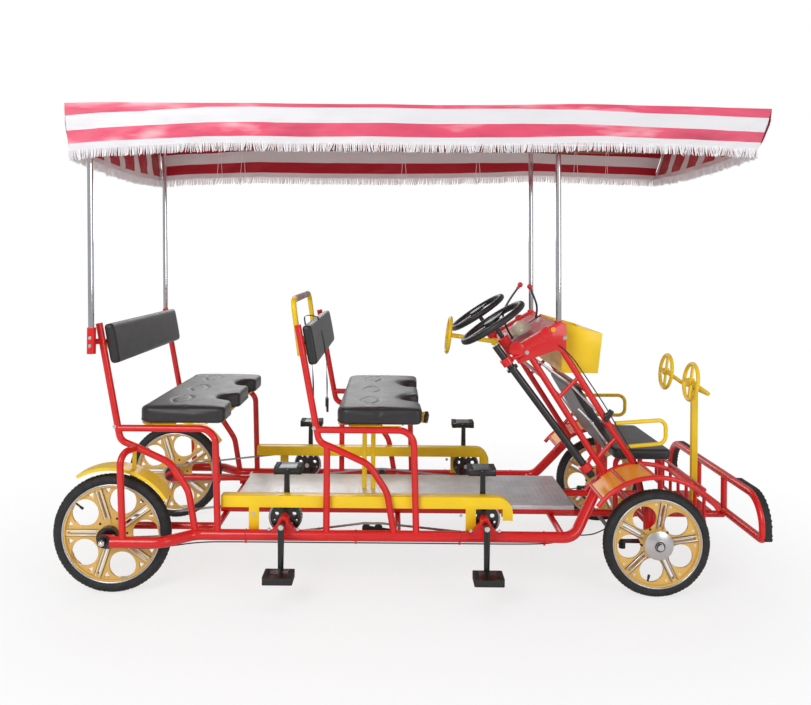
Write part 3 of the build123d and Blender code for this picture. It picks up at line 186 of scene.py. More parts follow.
def rod(start, end, radius, sides=20, edge=0.0):
    """A round bar between two points with rounded rims."""
    start, end = Vector(start), Vector(end)
    run = end - start
    deselect()
    bpy.ops.mesh.primitive_cylinder_add(
        vertices=sides,
        radius=radius,
        depth=run.length,
        location=(start + end) / 2,
        rotation=run.to_track_quat("Z", "Y").to_euler(),
    )
    piece = settle(bpy.context.object)
    if edge:
        bevelled(piece, edge)
    return smooth(piece)


def ball(place, radius, stretch=(1, 1, 1), rings=12):
    """A ball, stretched along the axes if wanted."""
    deselect()
    bpy.ops.mesh.primitive_uv_sphere_add(
        segments=rings * 2, ring_count=rings, radius=radius, location=place
    )
    piece = bpy.context.object
    piece.scale = stretch
    return smooth(settle(piece))


def plate(middle, size, edge=0.002, turn=(0, 0, 0), segments=2):
    """A block with rounded edges."""
    deselect()
    bpy.ops.mesh.primitive_cube_add(size=1, location=middle, rotation=turn)
    piece = bpy.context.object
    piece.scale = size
    settle(piece)
    return bevelled(piece, edge, segments)


def bent_bar(points, radius, sides=8, order=3):
    """A bar or strap swept along a smooth line."""
    deselect()
    bpy.ops.curve.primitive_nurbs_path_add(location=(0, 0, 0))
    line = bpy.context.object
    curve = line.data
    curve.splines.clear()
    spline = curve.splines.new("NURBS")
    spline.points.add(len(points) - 1)
    for point, place in zip(spline.points, points):
        point.co = (*place, 1.0)
    spline.order_u = order
    spline.use_endpoint_u = True
    curve.resolution_u = 8
    curve.bevel_depth = radius
    curve.bevel_resolution = sides // 2
    curve.use_fill_caps = True
    pick(line)
    bpy.ops.object.convert(target="MESH")
    return smooth(settle(bpy.context.object), 60)


def ring(place, way, radius, thickness, sides=48, section=10):
    """A torus facing a direction."""
    deselect()
    bpy.ops.mesh.primitive_torus_add(
        major_segments=sides,
        minor_segments=section,
        major_radius=radius,
        minor_radius=thickness,
        location=place,
        rotation=Vector(way).to_track_quat("Z", "Y").to_euler(),
    )
    return smooth(settle(bpy.context.object), 60)


def bolt(place, way, radius, height=0.006):
    """A hexagon head on a washer."""
    place, way = Vector(place), Vector(way).normalized()
    washer = rod(place, place + way * height * 0.25, radius * 1.35, 16)
    head = rod(place + way * height * 0.25, place + way * height, radius, 6)
    bevelled(head, radius * 0.12, 1)
    return joined([washer, head], "bolt")


def hand_over(pieces, name, slot, finish=None, body="chassis", node=None):
    """Joins finished pieces under a name, gives them their finish and seats them on their body."""
    piece = joined(pieces, name) if isinstance(pieces, list) else pieces
    piece.name = name
    piece.data.name = name
    piece.data.materials.clear()
    piece.data.materials.append(finish_named(finish or slot))
    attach(piece, body)
    if node:
        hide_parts(node)
    return piece


def carved(piece, cutters):
    """Cuts openings out of a piece."""
    tool = joined(cutters, "cutter")
    applied(piece, "BOOLEAN", object=tool, operation="DIFFERENCE", solver="EXACT")
    bpy.data.objects.remove(tool)
    return piece


def copied_node(node, name):
    """A copy of a CAD node with its own mesh and its double points merged."""
    piece = bpy.data.objects.new(name, NODES[node].data.copy())
    bpy.context.collection.objects.link(piece)
    with edit_mode(piece):
        bpy.ops.mesh.remove_doubles(threshold=MERGE_DISTANCE)
    return piece


def flattened(piece):
    """Merges the faces that lie in one plane."""
    with edit_mode(piece):
        bpy.ops.mesh.dissolve_limited(angle_limit=radians(FLAT_ANGLE))
    return piece


def softened(node, width, name, slot):
    """A copy of a CAD node with its sharp edges rounded, shown in its place."""
    piece = bevelled(flattened(copied_node(node, name)), width)
    return hand_over(piece, name, slot, body=NODES[node]["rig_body"], node=node)


# ---- finishes


def new_finish(name):
    """A node material with its main shader and object coordinates."""
    finish = bpy.data.materials.new(name)
    finish.use_nodes = True
    tree = finish.node_tree
    shader = tree.nodes["Principled BSDF"]
    place = tree.nodes.new("ShaderNodeTexCoord").outputs["Object"]
    return finish, tree, shader, place


def grain(tree, place, scale, detail=3.0, rough=0.55):
    """Noise on the piece's own coordinates."""
    texture = tree.nodes.new("ShaderNodeTexNoise")
    texture.inputs["Scale"].default_value = scale
    texture.inputs["Detail"].default_value = detail
    texture.inputs["Roughness"].default_value = rough
    tree.links.new(place, texture.inputs["Vector"])
    return texture.outputs["Fac"]


def ramp(tree, factor, stops):
    """Colours along a factor."""
    node = tree.nodes.new("ShaderNodeValToRGB")
    tree.links.new(factor, node.inputs["Fac"])
    elements = node.color_ramp.elements
    while len(elements) < len(stops):
        elements.new(0.5)
    for element, (spot, colour) in zip(elements, stops):
        element.position = spot
        element.color = (*colour, 1.0)
    return node.outputs["Color"]


def spread(tree, factor, low, high):
    """A factor spread over a range of values."""
    node = tree.nodes.new("ShaderNodeMapRange")
    node.inputs["To Min"].default_value = low
    node.inputs["To Max"].default_value = high
    tree.links.new(factor, node.inputs["Value"])
    return node.outputs["Result"]


def sums(tree, kind, first, second=None, third=None):
    """One arithmetic step on sockets or numbers."""
    node = tree.nodes.new("ShaderNodeMath")
    node.operation = kind
    for socket, value in zip(node.inputs, (first, second, third)):
        if value is None:
            continue
        if isinstance(value, (int, float)):
            socket.default_value = value
        else:
            tree.links.new(value, socket)
    return node.outputs[0]


def relief(tree, shader, height, depth, distance=0.001, before=None):
    """Bump from a height on the main shader."""
    node = tree.nodes.new("ShaderNodeBump")
    node.inputs["Strength"].default_value = depth
    node.inputs["Distance"].default_value = distance
    tree.links.new(height, node.inputs["Height"])
    if before is not None:
        tree.links.new(before, node.inputs["Normal"])
    tree.links.new(node.outputs["Normal"], shader.inputs["Normal"])
    return node.outputs["Normal"]


def scaled(colour, factor):
    """A colour made lighter or darker."""
    return tuple(min(1.0, channel * factor) for channel in colour)


def surface(name, tones, patches, rough, bump, inputs):
    """A finish in soft patches of tone, with uneven gloss and a fine relief.

    tones holds the colour's stops and patches their noise. rough holds a noise scale, then the
    lowest and highest roughness. bump holds a noise, its strength and its height.
    """
    finish, tree, shader, place = new_finish(name)
    tree.links.new(ramp(tree, grain(tree, place, *patches), tones), shader.inputs["Base Color"])
    if rough:
        scale, low, high = rough
        tree.links.new(spread(tree, grain(tree, place, scale), low, high), shader.inputs["Roughness"])
    texture, depth, distance = bump
    relief(tree, shader, grain(tree, place, *texture), depth, distance)
    for label, value in inputs.items():
        shader.inputs[label].default_value = value
    return finish


def gloss_paint(name, colour, coat=0.35, shine=0.5):
    """Gloss powder coat: orange peel, faint dirt and uneven gloss."""
    return surface(
        name, ((0.25, scaled(colour, 0.84)), (0.75, scaled(colour, 1.05))), (5.0, 4.0),
        (22.0, 0.22, 0.40), ((650.0, 1.0), 0.10, 0.0004),
        {"Coat Weight": coat, "Specular IOR Level": shine, "Coat Roughness": 0.08},
    )


def bare_metal(name, colour, low, high, streak=180.0):
    """Plated or turned metal with fine streaks."""
    return surface(
        name, ((0.3, scaled(colour, 0.88)), (0.7, colour)), (9.0,),
        (streak, low, high), ((streak * 3,), 0.05, 0.0003), {"Metallic": 1.0},
    )


def moulded(name, colour, rough=(0.45, 0.65), pebble=900.0, depth=0.25):
    """Moulded plastic or rubber with a fine pebble."""
    return surface(
        name, ((0.3, scaled(colour, 0.8)), (0.75, scaled(colour, 1.35))), (14.0,),
        (30.0, *rough), ((pebble, 2.0), depth, 0.0004), {},
    )


def seat_skin(name, colour):
    """Embossed vinyl skin with a leather grain."""
    finish, tree, shader, place = new_finish(name)
    cells = tree.nodes.new("ShaderNodeTexVoronoi")
    cells.feature = "DISTANCE_TO_EDGE"
    cells.inputs["Scale"].default_value = 420.0
    tree.links.new(place, cells.inputs["Vector"])
    base = ramp(tree, grain(tree, place, 7.0), ((0.3, scaled(colour, 0.85)), (0.8, scaled(colour, 1.2))))
    tree.links.new(base, shader.inputs["Base Color"])
    tree.links.new(spread(tree, grain(tree, place, 26.0), 0.36, 0.52), shader.inputs["Roughness"])
    shader.inputs["Sheen Weight"].default_value = 0.12
    first = relief(tree, shader, cells.outputs["Distance"], 0.22, 0.0004)
    relief(tree, shader, grain(tree, place, 60.0), 0.12, 0.001, first)
    return finish


def tread_rubber(name):
    """Tyre rubber, dusty on the tread."""
    return surface(
        name, ((0.3, (0.008, 0.008, 0.009)), (0.8, (0.026, 0.025, 0.024))), (30.0, 5.0),
        (55.0, 0.55, 0.8), ((700.0, 2.0), 0.3, 0.0005), {},
    )


def lozenge(tree, along, across):
    """Reaches 1 at the edge of a long lozenge, from its two coordinates."""
    parts = [
        sums(tree, "POWER", sums(tree, "DIVIDE", way, reach), 2.0)
        for way, reach in ((along, 0.62), (across, 0.17))
    ]
    return sums(tree, "ADD", *parts)


def checker_plate(name):
    """Light grey plate with raised lozenges in two directions."""
    finish, tree, shader, place = new_finish(name)
    split = tree.nodes.new("ShaderNodeSeparateXYZ")
    tree.links.new(place, split.inputs["Vector"])
    pitch = 1 / 0.022
    u, v = (sums(tree, "MULTIPLY", split.outputs[axis], pitch) for axis in "XY")
    parity = sums(tree, "PINGPONG", sums(tree, "ADD", sums(tree, "FLOOR", u), sums(tree, "FLOOR", v)), 1.0)
    cu, cv = (sums(tree, "SUBTRACT", sums(tree, "FRACT", part), 0.5) for part in (u, v))
    along = sums(tree, "ADD", cu, cv)
    across = sums(tree, "SUBTRACT", cu, cv)
    one = sums(tree, "MULTIPLY", lozenge(tree, along, across), parity)
    two = sums(tree, "MULTIPLY", lozenge(tree, across, along), sums(tree, "SUBTRACT", 1.0, parity))
    raised = sums(tree, "SUBTRACT", 1.0, sums(tree, "MINIMUM", sums(tree, "ADD", one, two), 1.0))
    base = ramp(tree, grain(tree, place, 12.0), ((0.3, (0.60, 0.61, 0.63)), (0.75, (0.78, 0.79, 0.81))))
    tree.links.new(base, shader.inputs["Base Color"])
    shader.inputs["Metallic"].default_value = 0.55
    tree.links.new(spread(tree, grain(tree, place, 40.0), 0.34, 0.55), shader.inputs["Roughness"])
    relief(tree, shader, raised, 0.9, 0.0014)
    return finish


def mix_shaders(tree, factor, first, second, output):
    """Sends a mix of two shaders to an output."""
    blend = tree.nodes.new("ShaderNodeMixShader")
    if isinstance(factor, float):
        blend.inputs["Fac"].default_value = factor
    else:
        tree.links.new(factor, blend.inputs["Fac"])
    tree.links.new(first, blend.inputs[1])
    tree.links.new(second, blend.inputs[2])
    tree.links.new(blend.outputs["Shader"], tree.nodes[output].inputs["Surface"])


# the value of the cloth's map that keeps stripes off a hem
HEM_MARK = 3.0


def blend_colours(tree, factor, first, second):
    """A mix of two colours, each a socket or a plain colour."""
    mix = tree.nodes.new("ShaderNodeMix")
    mix.data_type = "RGBA"
    tree.links.new(factor, mix.inputs["Factor"])
    for socket, colour in (("A", first), ("B", second)):
        if isinstance(colour, tuple):
            mix.inputs[socket].default_value = colour
        else:
            tree.links.new(colour, mix.inputs[socket])
    return mix.outputs["Result"]


def awning_cloth(name, red, white, period, share):
    """Striped awning cloth; the stripes follow the cloth's own map, its underside is darkened with painted
    shade, and painted highlights and shade follow its slanted folds.
    """
    finish, tree, shader, place = new_finish(name)
    lay = tree.nodes.new("ShaderNodeUVMap")
    lay.uv_map = "lay"
    split = tree.nodes.new("ShaderNodeSeparateXYZ")
    tree.links.new(lay.outputs["UV"], split.inputs["Vector"])
    wave = sums(tree, "PINGPONG", split.outputs["Y"], period / 2)
    striped = sums(tree, "LESS_THAN", wave, period * share / 2)
    cloth_part = sums(tree, "LESS_THAN", split.outputs["X"], HEM_MARK - 0.8)
    inside = sums(tree, "MULTIPLY", striped, cloth_part)
    slant = tree.nodes.new("ShaderNodeMapping")
    slant.inputs["Rotation"].default_value = (0.0, radians(38), 0.0)
    slant.inputs["Scale"].default_value = (3.2, 5.0, 15.0)
    tree.links.new(place, slant.inputs["Vector"])
    # slanted noise: it raises the folds' relief, and the ramps below use it to paint highlights on the crests
    # and shade in the troughs
    folds_and_painted_sheen = grain(tree, slant.outputs["Vector"], 1.0, 3.0, 0.5)
    # painted highlight: the palest red, for the crests that catch the light
    light = tuple(min(1.0, part + 0.16 + 0.24 * (1 - part)) for part in red)
    red_with_painted_sheen = ramp(tree, folds_and_painted_sheen, (
        (0.30, scaled(red, 0.78)), (0.44, red), (0.56, scaled(red, 1.12)), (0.70, light),
    ))
    white_with_painted_sheen = ramp(tree, folds_and_painted_sheen, ((0.3, scaled(white, 0.95)), (0.62, white)))
    # painted shade: faces marked as the cloth's underside get a darker red and a greyer white
    shaded_underside = tree.nodes.new("ShaderNodeAttribute")
    shaded_underside.attribute_name = "shaded_underside"
    outer = blend_colours(tree, inside, white_with_painted_sheen, red_with_painted_sheen)
    inner = blend_colours(tree, inside, (0.86, 0.82, 0.81, 1.0), (0.52, 0.010, 0.030, 1.0))
    colour = blend_colours(tree, shaded_underside.outputs["Fac"], outer, inner)
    tree.links.new(colour, shader.inputs["Base Color"])
    shader.inputs["Roughness"].default_value = 0.42
    shader.inputs["Sheen Weight"].default_value = 0.15
    weave_u = sums(tree, "SINE", sums(tree, "MULTIPLY", split.outputs["X"], 3600.0))
    weave_v = sums(tree, "SINE", sums(tree, "MULTIPLY", split.outputs["Y"], 3600.0))
    first = relief(tree, shader, sums(tree, "MULTIPLY", weave_u, weave_v), 0.12, 0.0002)
    relief(tree, shader, folds_and_painted_sheen, 0.6, 0.012, first)
    thin = tree.nodes.new("ShaderNodeBsdfTranslucent")
    tree.links.new(colour, thin.inputs["Color"])
    mix_shaders(tree, 0.18, shader.outputs["BSDF"], thin.outputs["BSDF"], "Material Output")
    return finish


def yarn(name, colour):
    """Soft spun yarn for the fringe."""
    return surface(
        name, ((0.3, scaled(colour, 0.93)), (0.75, colour)), (90.0,), None,
        ((1500.0, 1.0), 0.4, 0.0004), {"Roughness": 0.8, "Sheen Weight": 0.4},
    )


def webbing(name, colour):
    """Woven strap with a ribbed weave."""
    finish, tree, shader, place = new_finish(name)
    wave = tree.nodes.new("ShaderNodeTexWave")
    wave.inputs["Scale"].default_value = 260.0
    wave.bands_direction = "DIAGONAL"
    tree.links.new(place, wave.inputs["Vector"])
    base = ramp(tree, wave.outputs["Fac"], ((0.2, scaled(colour, 0.7)), (0.8, scaled(colour, 1.3))))
    tree.links.new(base, shader.inputs["Base Color"])
    shader.inputs["Roughness"].default_value = 0.7
    relief(tree, shader, wave.outputs["Fac"], 0.4, 0.0005)
    return finish


# ---- sizes and colours that a user may change


def colour_choice(label, note, default):
    """A colour that the panel offers."""
    return bpy.props.FloatVectorProperty(
        name=label, description=note, subtype="COLOR", size=3, min=0, max=1, default=default
    )


def length_choice(label, note, default):
    """A length that the panel offers."""
    return bpy.props.FloatProperty(name=label, description=note, unit="LENGTH", default=default)


class SurreyCloth(bpy.types.PropertyGroup):
    """The canopy's cloth and fringe."""

    red: colour_choice("Stripe", "Colour of the dark stripes", (0.80, 0.085, 0.17))
    white: colour_choice("Ground", "Colour of the light stripes", (0.86, 0.85, 0.87))
    period: length_choice("Stripe pitch", "From one dark stripe to the next", 0.1175)
    drop: length_choice("Valance", "Height of the valance with its white hem", 0.142)
    fringe: length_choice("Fringe", "Length of the fringe under the hem", 0.036)


class SurreyPaint(bpy.types.PropertyGroup):
    """The colours of the painted parts."""

    red: colour_choice("Frame", "Colour of the frame", (0.70, 0.010, 0.010))
    yellow: colour_choice("Trim", "Colour of the guards, basket and bars", (0.95, 0.64, 0.018))
    gold: colour_choice("Wheels", "Colour of the cast wheels", (0.78, 0.47, 0.10))
    orange: colour_choice("Fender panels", "Colour of the front fender panels", (1.0, 0.38, 0.03))


class SurreySeat(bpy.types.PropertyGroup):
    """The seats' skin and shape."""

    skin: colour_choice("Skin", "Colour of the seats", (0.016, 0.015, 0.017))
    edge: length_choice("Edge", "Radius of the pads' rounded edge", 0.020)
    groove: length_choice("Groove", "Depth of the moulded grooves", 0.0035)


def cloth_settings():
    return bpy.context.scene.surrey_cloth


def paint_settings():
    return bpy.context.scene.surrey_paint


def seat_settings():
    return bpy.context.scene.surrey_seat


FINISHES = {}


def finish_named(name):
    """The finish of a material slot, made the first time it is asked for."""
    if name in FINISHES:
        return FINISHES[name]
    paint, cloth, seat = paint_settings(), cloth_settings(), seat_settings()
    makers = {
        "red_paint": lambda: gloss_paint(name, tuple(paint.red), 0.25, 0.4),
        "yellow_paint": lambda: gloss_paint(name, tuple(paint.yellow), 0.08, 0.28),
        "orange_paint": lambda: gloss_paint(name, tuple(paint.orange), 0.04, 0.22),
        "gold_wheel": lambda: gloss_paint(name, tuple(paint.gold), 0.6),
        "silver_wheel": lambda: bare_metal(name, (0.62, 0.60, 0.60), 0.25, 0.42),
        # light cream: partly the spoke bars' own paler colour, partly a painted highlight on the bars and the
        # front bosses
        "cream_with_highlight": lambda: gloss_paint(name, (0.84, 0.74, 0.50), 0.6),
        "black_metal": lambda: gloss_paint(name, (0.007, 0.007, 0.008), 0.2),
        "steel": lambda: bare_metal(name, (0.42, 0.41, 0.40), 0.28, 0.45),
        "zinc": lambda: bare_metal(name, (0.72, 0.72, 0.73), 0.22, 0.4),
        "chrome_tube": lambda: bare_metal(name, (0.84, 0.84, 0.86), 0.07, 0.10, 12.0),
        "roof_tube": lambda: gloss_paint(name, (0.30, 0.13, 0.045), 0.15),
        "black_plastic": lambda: moulded(name, (0.014, 0.014, 0.015), (0.35, 0.5)),
        "rubber": lambda: moulded(name, (0.012, 0.012, 0.012), (0.6, 0.8)),
        "grip_foam": lambda: moulded(name, (0.42, 0.30, 0.27), (0.6, 0.8), 500.0, 0.5),
        "red_plastic": lambda: moulded(name, (0.55, 0.02, 0.03), (0.3, 0.45), 700.0, 0.1),
        "clear_tray": lambda: moulded(name, (0.62, 0.58, 0.42), (0.15, 0.3), 300.0, 0.1),
        "tyre": lambda: tread_rubber(name),
        "floor_plate": lambda: checker_plate(name),
        "seat_vinyl": lambda: seat_skin(name, tuple(seat.skin)),
        "canopy_cloth": lambda: awning_cloth(
            name, tuple(cloth.red), tuple(cloth.white), cloth.period, BAND_SHARE
        ),
        "fringe_yarn": lambda: yarn(name, (0.97, 0.96, 0.97)),
        "belt": lambda: webbing(name, (0.012, 0.012, 0.013)),
    }
    FINISHES[name] = makers[name]()
    return FINISHES[name]


# ---- operators


class SURREY_OT_frame_finish(bpy.types.Operator):
    """Gives every CAD part its finish and rounds the edges of sheet and cast parts"""

    bl_idname = "surrey.frame_finish"
    bl_label = "Frame finishes"

    def execute(self, context):
        slots = {part["node"]: part["material_slot"] for part in frame["record"]["subparts"]}
        for node, piece in NODES.items():
            slot = slots[node]
            if node.startswith("rim_"):
                slot = "gold_wheel"
            piece.data.materials.clear()
            piece.data.materials.append(finish_named(slot))
        rounded = (
            ("chain_guards", 0.0015, "yellow_paint"),
            ("basket", 0.0035, "yellow_paint"),
            ("dash_tray", 0.003, "red_paint"),
            ("floor_plate", 0.001, "floor_plate"),
            ("crank_brackets", 0.007, "red_paint"),
            ("seat_pans", 0.0015, "yellow_paint"),
        )
        for node, width, slot in rounded:
            softened(node, width, f"{node}_finished", slot)
        return {"FINISHED"}


class SURREY_OT_wheels(bpy.types.Operator):
    """Tyres with tread, cast wheels with slotted spokes, lips, bolts, valves and hub discs"""

    bl_idname = "surrey.wheels"
    bl_label = "Wheels"

    def tyre(self, position, side_name, side):
        """A tyre, its tread cut in blocks and lanes and its sides ringed."""
        x, z, radius, _first = HUBS[position]
        y = side * WHEEL_Y
        steps, groove, block_edge, bead = 360, 0.0020, 0.0012, 0.0011
        thick = radius * (1 - RIM_SHARE) / 2 + 0.003
        middle = radius - thick
        wide = 0.024 / thick
        deselect()
        bpy.ops.mesh.primitive_torus_add(
            major_segments=steps, minor_segments=32, major_radius=middle, minor_radius=thick,
            location=(0, 0, 0), rotation=(pi / 2, 0, 0)
        )
        piece = settle(bpy.context.object)
        for vertex in piece.data.vertices:
            px, py, pz = vertex.co
            turn = atan2(pz, px)
            lift = (sqrt(px * px + pz * pz) - middle) / thick
            across = py / thick
            outer = 1 if across > 0 else -1
            fat = across * wide * (1 - 0.10 * max(0.0, lift))
            new_out = middle + lift * thick
            step = round(turn / (2 * pi) * steps)
            lane = abs(across)
            if lift > 0.34:
                if (step + (2 if lane > 0.45 else 0)) % 4 == 0 or 0.28 < lane < 0.42:
                    new_out -= groove
            elif lift > 0.02:
                fat += (block_edge / thick) * outer * (step % 4 < 2)
            elif -0.62 < lift < -0.42:
                fat += (bead / thick) * outer
            vertex.co = (x + cos(turn) * new_out, y + fat * thick, z + sin(turn) * new_out)
        smooth(piece, 50)
        hand_over(piece, f"tread_{position}_{side_name}", "tyre", body=f"{position}_wheel_{side_name}",
                  node=f"tyre_{position}_{side_name}")

    def slot(self, middle, turn, start, end):
        """The cutter of one spoke's slot."""
        way = Vector((cos(turn), 0, sin(turn)))
        size = (end - start, 0.06, 0.0105)
        return plate(Vector(middle) + way * (start + end) / 2, size, 0.004, (0, -turn, 0), 3)

    def window(self, middle, turn, reach):
        """The cutter of one three-cornered window beside a spoke, with its point towards the hub."""
        way = Vector((cos(turn), 0, sin(turn)))
        point, through = -way, Vector((0, 1, 0))
        axes = Matrix((point.cross(through), point, through)).transposed()
        deselect()
        bpy.ops.mesh.primitive_cylinder_add(
            vertices=3, radius=0.0135, depth=0.06, location=Vector(middle) + way * reach,
            rotation=axes.to_euler(),
        )
        return bevelled(settle(bpy.context.object), 0.002)

    def cast(self, position, side_name, y, seat):
        """The cast wheel with its openings, the ribs, and dark lines of painted shade beside its slots."""
        x, z, _radius, first = HUBS[position]
        body = f"{position}_wheel_{side_name}"
        piece = softened(f"rim_{position}_{side_name}", 0.0022, f"cast_{position}_{side_name}", "gold_wheel")
        lips = [ring((x, y + step * 0.0165, z), (0, 1, 0), seat - 0.003, 0.0042, 96, 10) for step in (-1, 1)]
        hand_over(lips, f"rim_lip_{position}_{side_name}", "steel", "silver_wheel", body)
        ribs, edges, cutters = [], [], []
        inner = 0.052 if position == "rear" else 0.056
        for index in range(5):
            turn = radians(first + index * 72)
            way = Vector((cos(turn), 0, sin(turn)))
            cutters.append(self.slot((x, y, z), turn, inner + 0.008, seat - 0.022))
            if position == "rear":
                for lean in (-11.5, 11.5):
                    cutters.append(self.window((x, y, z), turn + radians(lean), seat - 0.026))
            for face in (-1, 1):
                start = Vector((x, y + face * 0.0085, z)) + way * inner
                end = Vector((x, y + face * 0.0085, z)) + way * (seat - 0.016)
                for step in (-1, 1):
                    aside = Vector((-way.z, 0, way.x)) * step
                    ribs.append(rod(start + aside * 0.0088, end + aside * 0.0088, 0.0037, 12, 0.001))
                    # painted shade: thin black rods along each slot's sides stand for the shadow on its walls
                    start_line = start + way * 0.004 + aside * 0.0128
                    edges.append(rod(start_line, end - way * 0.002 + aside * 0.0128, 0.0011, 8))
        smooth(carved(piece, cutters), 40)
        # the rear bars' cream holds a painted highlight as well as their paler colour
        spoke_finish = "cream_with_highlight" if position == "rear" else "silver_wheel"
        hand_over(ribs, f"spoke_bars_{position}_{side_name}", "steel", spoke_finish, body)
        hand_over(edges, f"spoke_painted_shade_{position}_{side_name}", "black_metal", body=body)

    def studs(self, position, side_name, y, seat):
        """Bolts round the hub, and on the front wheels a boss on both sides of each spoke."""
        x, z, _radius, first = HUBS[position]
        body = f"{position}_wheel_{side_name}"
        bosses, heads = [], []

        def stud(angle, reach, near, far, radius, sides, edge=0.0):
            turn = radians(angle)
            spot = Vector((x + cos(turn) * reach, y, z + sin(turn) * reach))
            return [
                rod(spot + Vector((0, face * near, 0)), spot + Vector((0, face * far, 0)), radius, sides, edge)
                for face in (-1, 1)
            ]

        for index in range(5):
            heads += stud(first + 36 + index * 72, 0.058, 0.0045, 0.0056, 0.0048, 14)
            for lean in (-11, 11) if position == "front" else ():
                bosses += stud(first + index * 72 + lean, seat - 0.024, 0.004, 0.0062, 0.0052, 12, 0.001)
        if bosses:
            # the bosses belong to the gold casting; their cream finish is a painted highlight
            hand_over(bosses, f"cast_bosses_{position}_{side_name}", "gold_wheel", "cream_with_highlight", body)
        hand_over(heads, f"web_bolts_{position}_{side_name}", "black_metal", body=body)

    def valve(self, position, side_name, y, seat):
        """The tyre's valve with its cap."""
        x, z, _radius, _first = HUBS[position]
        turn = radians(142 if position == "rear" else 258)
        way = Vector((cos(turn), 0, sin(turn)))
        foot = Vector((x, y, z)) + way * (seat - 0.010)
        stem = rod(foot, foot - way * 0.030, 0.0038, 12, 0.0008)
        cap = rod(foot - way * 0.022, foot - way * 0.036, 0.0050, 12, 0.001)
        hand_over([stem, cap], f"valve_{position}_{side_name}", "tyre", "black_plastic",
                  f"{position}_wheel_{side_name}")

    def rear_nut(self, side_name, side):
        """The domed nut on the outer end of a rear axle."""
        x, z, _radius, _first = HUBS["rear"]
        y = side * 0.5535
        nut = [
            rod((x, y, z), (x, y + side * 0.009, z), 0.0125, 6, 0.001),
            ball((x, y + side * 0.009, z), 0.0095, (1, 0.8, 1), 8),
        ]
        hand_over(nut, f"rear_nut_{side_name}", "steel", "chrome_tube", f"rear_wheel_{side_name}")

    def front_hub(self, side_name, side):
        """A front wheel's hub disc with its seal, and the screw in the end of the stub axle."""
        x, z, _radius, _first = HUBS["front"]
        body = f"front_wheel_{side_name}"
        face = side * (WHEEL_Y + 0.0352)
        deselect()
        bpy.ops.mesh.primitive_cone_add(
            vertices=64, radius1=0.056, radius2=0.026, depth=0.010,
            location=(x, face + side * 0.005, z), rotation=(-side * pi / 2, 0, 0),
        )
        disc = bevelled(settle(bpy.context.object), 0.0012)
        collar = rod((x, face + side * 0.006, z), (x, face + side * 0.012, z), 0.024, 32, 0.002)
        hand_over([disc, collar], f"hub_disc_{side_name}", "steel", "silver_wheel", body)
        seal = ring((x, face + side * 0.0105, z), (0, 1, 0), 0.0175, 0.0030, 32, 8)
        hand_over(seal, f"hub_seal_{side_name}", "black_plastic", body=body)
        end = side * 0.4955
        cap = rod((x, end, z), (x, end + side * 0.004, z), 0.0120, 24, 0.0012)
        notch = plate((x, end + side * 0.004, z), (0.0022, 0.003, 0.022), 0.0002)
        hand_over(carved(cap, [notch]), f"stub_screw_{side_name}", "steel", "zinc", f"knuckle_{side_name}")

    def execute(self, context):
        for position in ("rear", "front"):
            seat = HUBS[position][2] * RIM_SHARE
            for side_name, side in SIDES:
                y = side * WHEEL_Y
                self.tyre(position, side_name, side)
                self.cast(position, side_name, y, seat)
                self.studs(position, side_name, y, seat)
                if position == "rear":
                    self.rear_nut(side_name, side)
                self.valve(position, side_name, y, seat)
                if position == "front":
                    self.front_hub(side_name, side)
        return {"FINISHED"}


CANOPY = {
    "back": -1.280, "front": 1.320, "half": 0.590, "top": 1.8625, "back_inset": 0.018, "front_inset": 0.048,
}
# place along the roof, then how far below its edge the first band, the white, the second band and the hem end
VALANCE_LINES = (
    (-1.280, 0.050, 0.102, 0.152, 0.176), (-1.020, 0.034, 0.086, 0.138, 0.160),
    (-0.760, 0.014, 0.071, 0.124, 0.144), (0.400, 0.014, 0.070, 0.121, 0.142),
    (0.720, 0.026, 0.077, 0.118, 0.141), (1.320, 0.037, 0.087, 0.125, 0.149),
)
# place along the roof, then how far its edge lies above the tubes' line
EDGE_LINE = (
    (-1.280, -0.004), (-1.150, 0.0), (0.250, 0.0), (0.590, 0.007), (0.740, 0.006), (1.320, -0.004),
)
# place across the roof, then the cloth's own measure there; a band is centred on each whole pitch
ACROSS_LINES = (
    (0.0, 0.5, 0.0), (0.035, 1.0, -1.0), (0.165, 1.0, 1.0), (0.231, 2.0, -1.0), (0.361, 2.0, 1.0),
    (0.427, 3.0, -1.0), (0.557, 3.0, 1.0), (0.575, 4.0, -1.0), (0.590, 4.0, 0.0),
)
BAND_SHARE = 0.44
USUAL_DROP = 0.142


def between_stations(stations, place):
    """The values at a place, read off a table of stations."""
    if place <= stations[0][0]:
        return stations[0][1:]
    for low, high in zip(stations, stations[1:]):
        if place <= high[0]:
            share = (place - low[0]) / (high[0] - low[0])
            return tuple(a + (b - a) * share for a, b in zip(low[1:], high[1:]))
    return stations[-1][1:]


def valance_depth(x, y, lean):
    """How far the hem's lower edge lies below the roof's edge."""
    depth = between_stations(VALANCE_LINES, x)[-1]
    across = abs(y) / CANOPY["half"]
    if lean[0] < 0:
        depth += 0.024 * (1 - across ** 2)
    elif lean[0] > 0:
        depth += 0.018 * (1 - across ** 2)
    elif y > 0:
        depth += 0.013 * max(0.0, 1 - ((x + 0.25) / 0.85) ** 2)
    return depth * cloth_settings().drop / USUAL_DROP


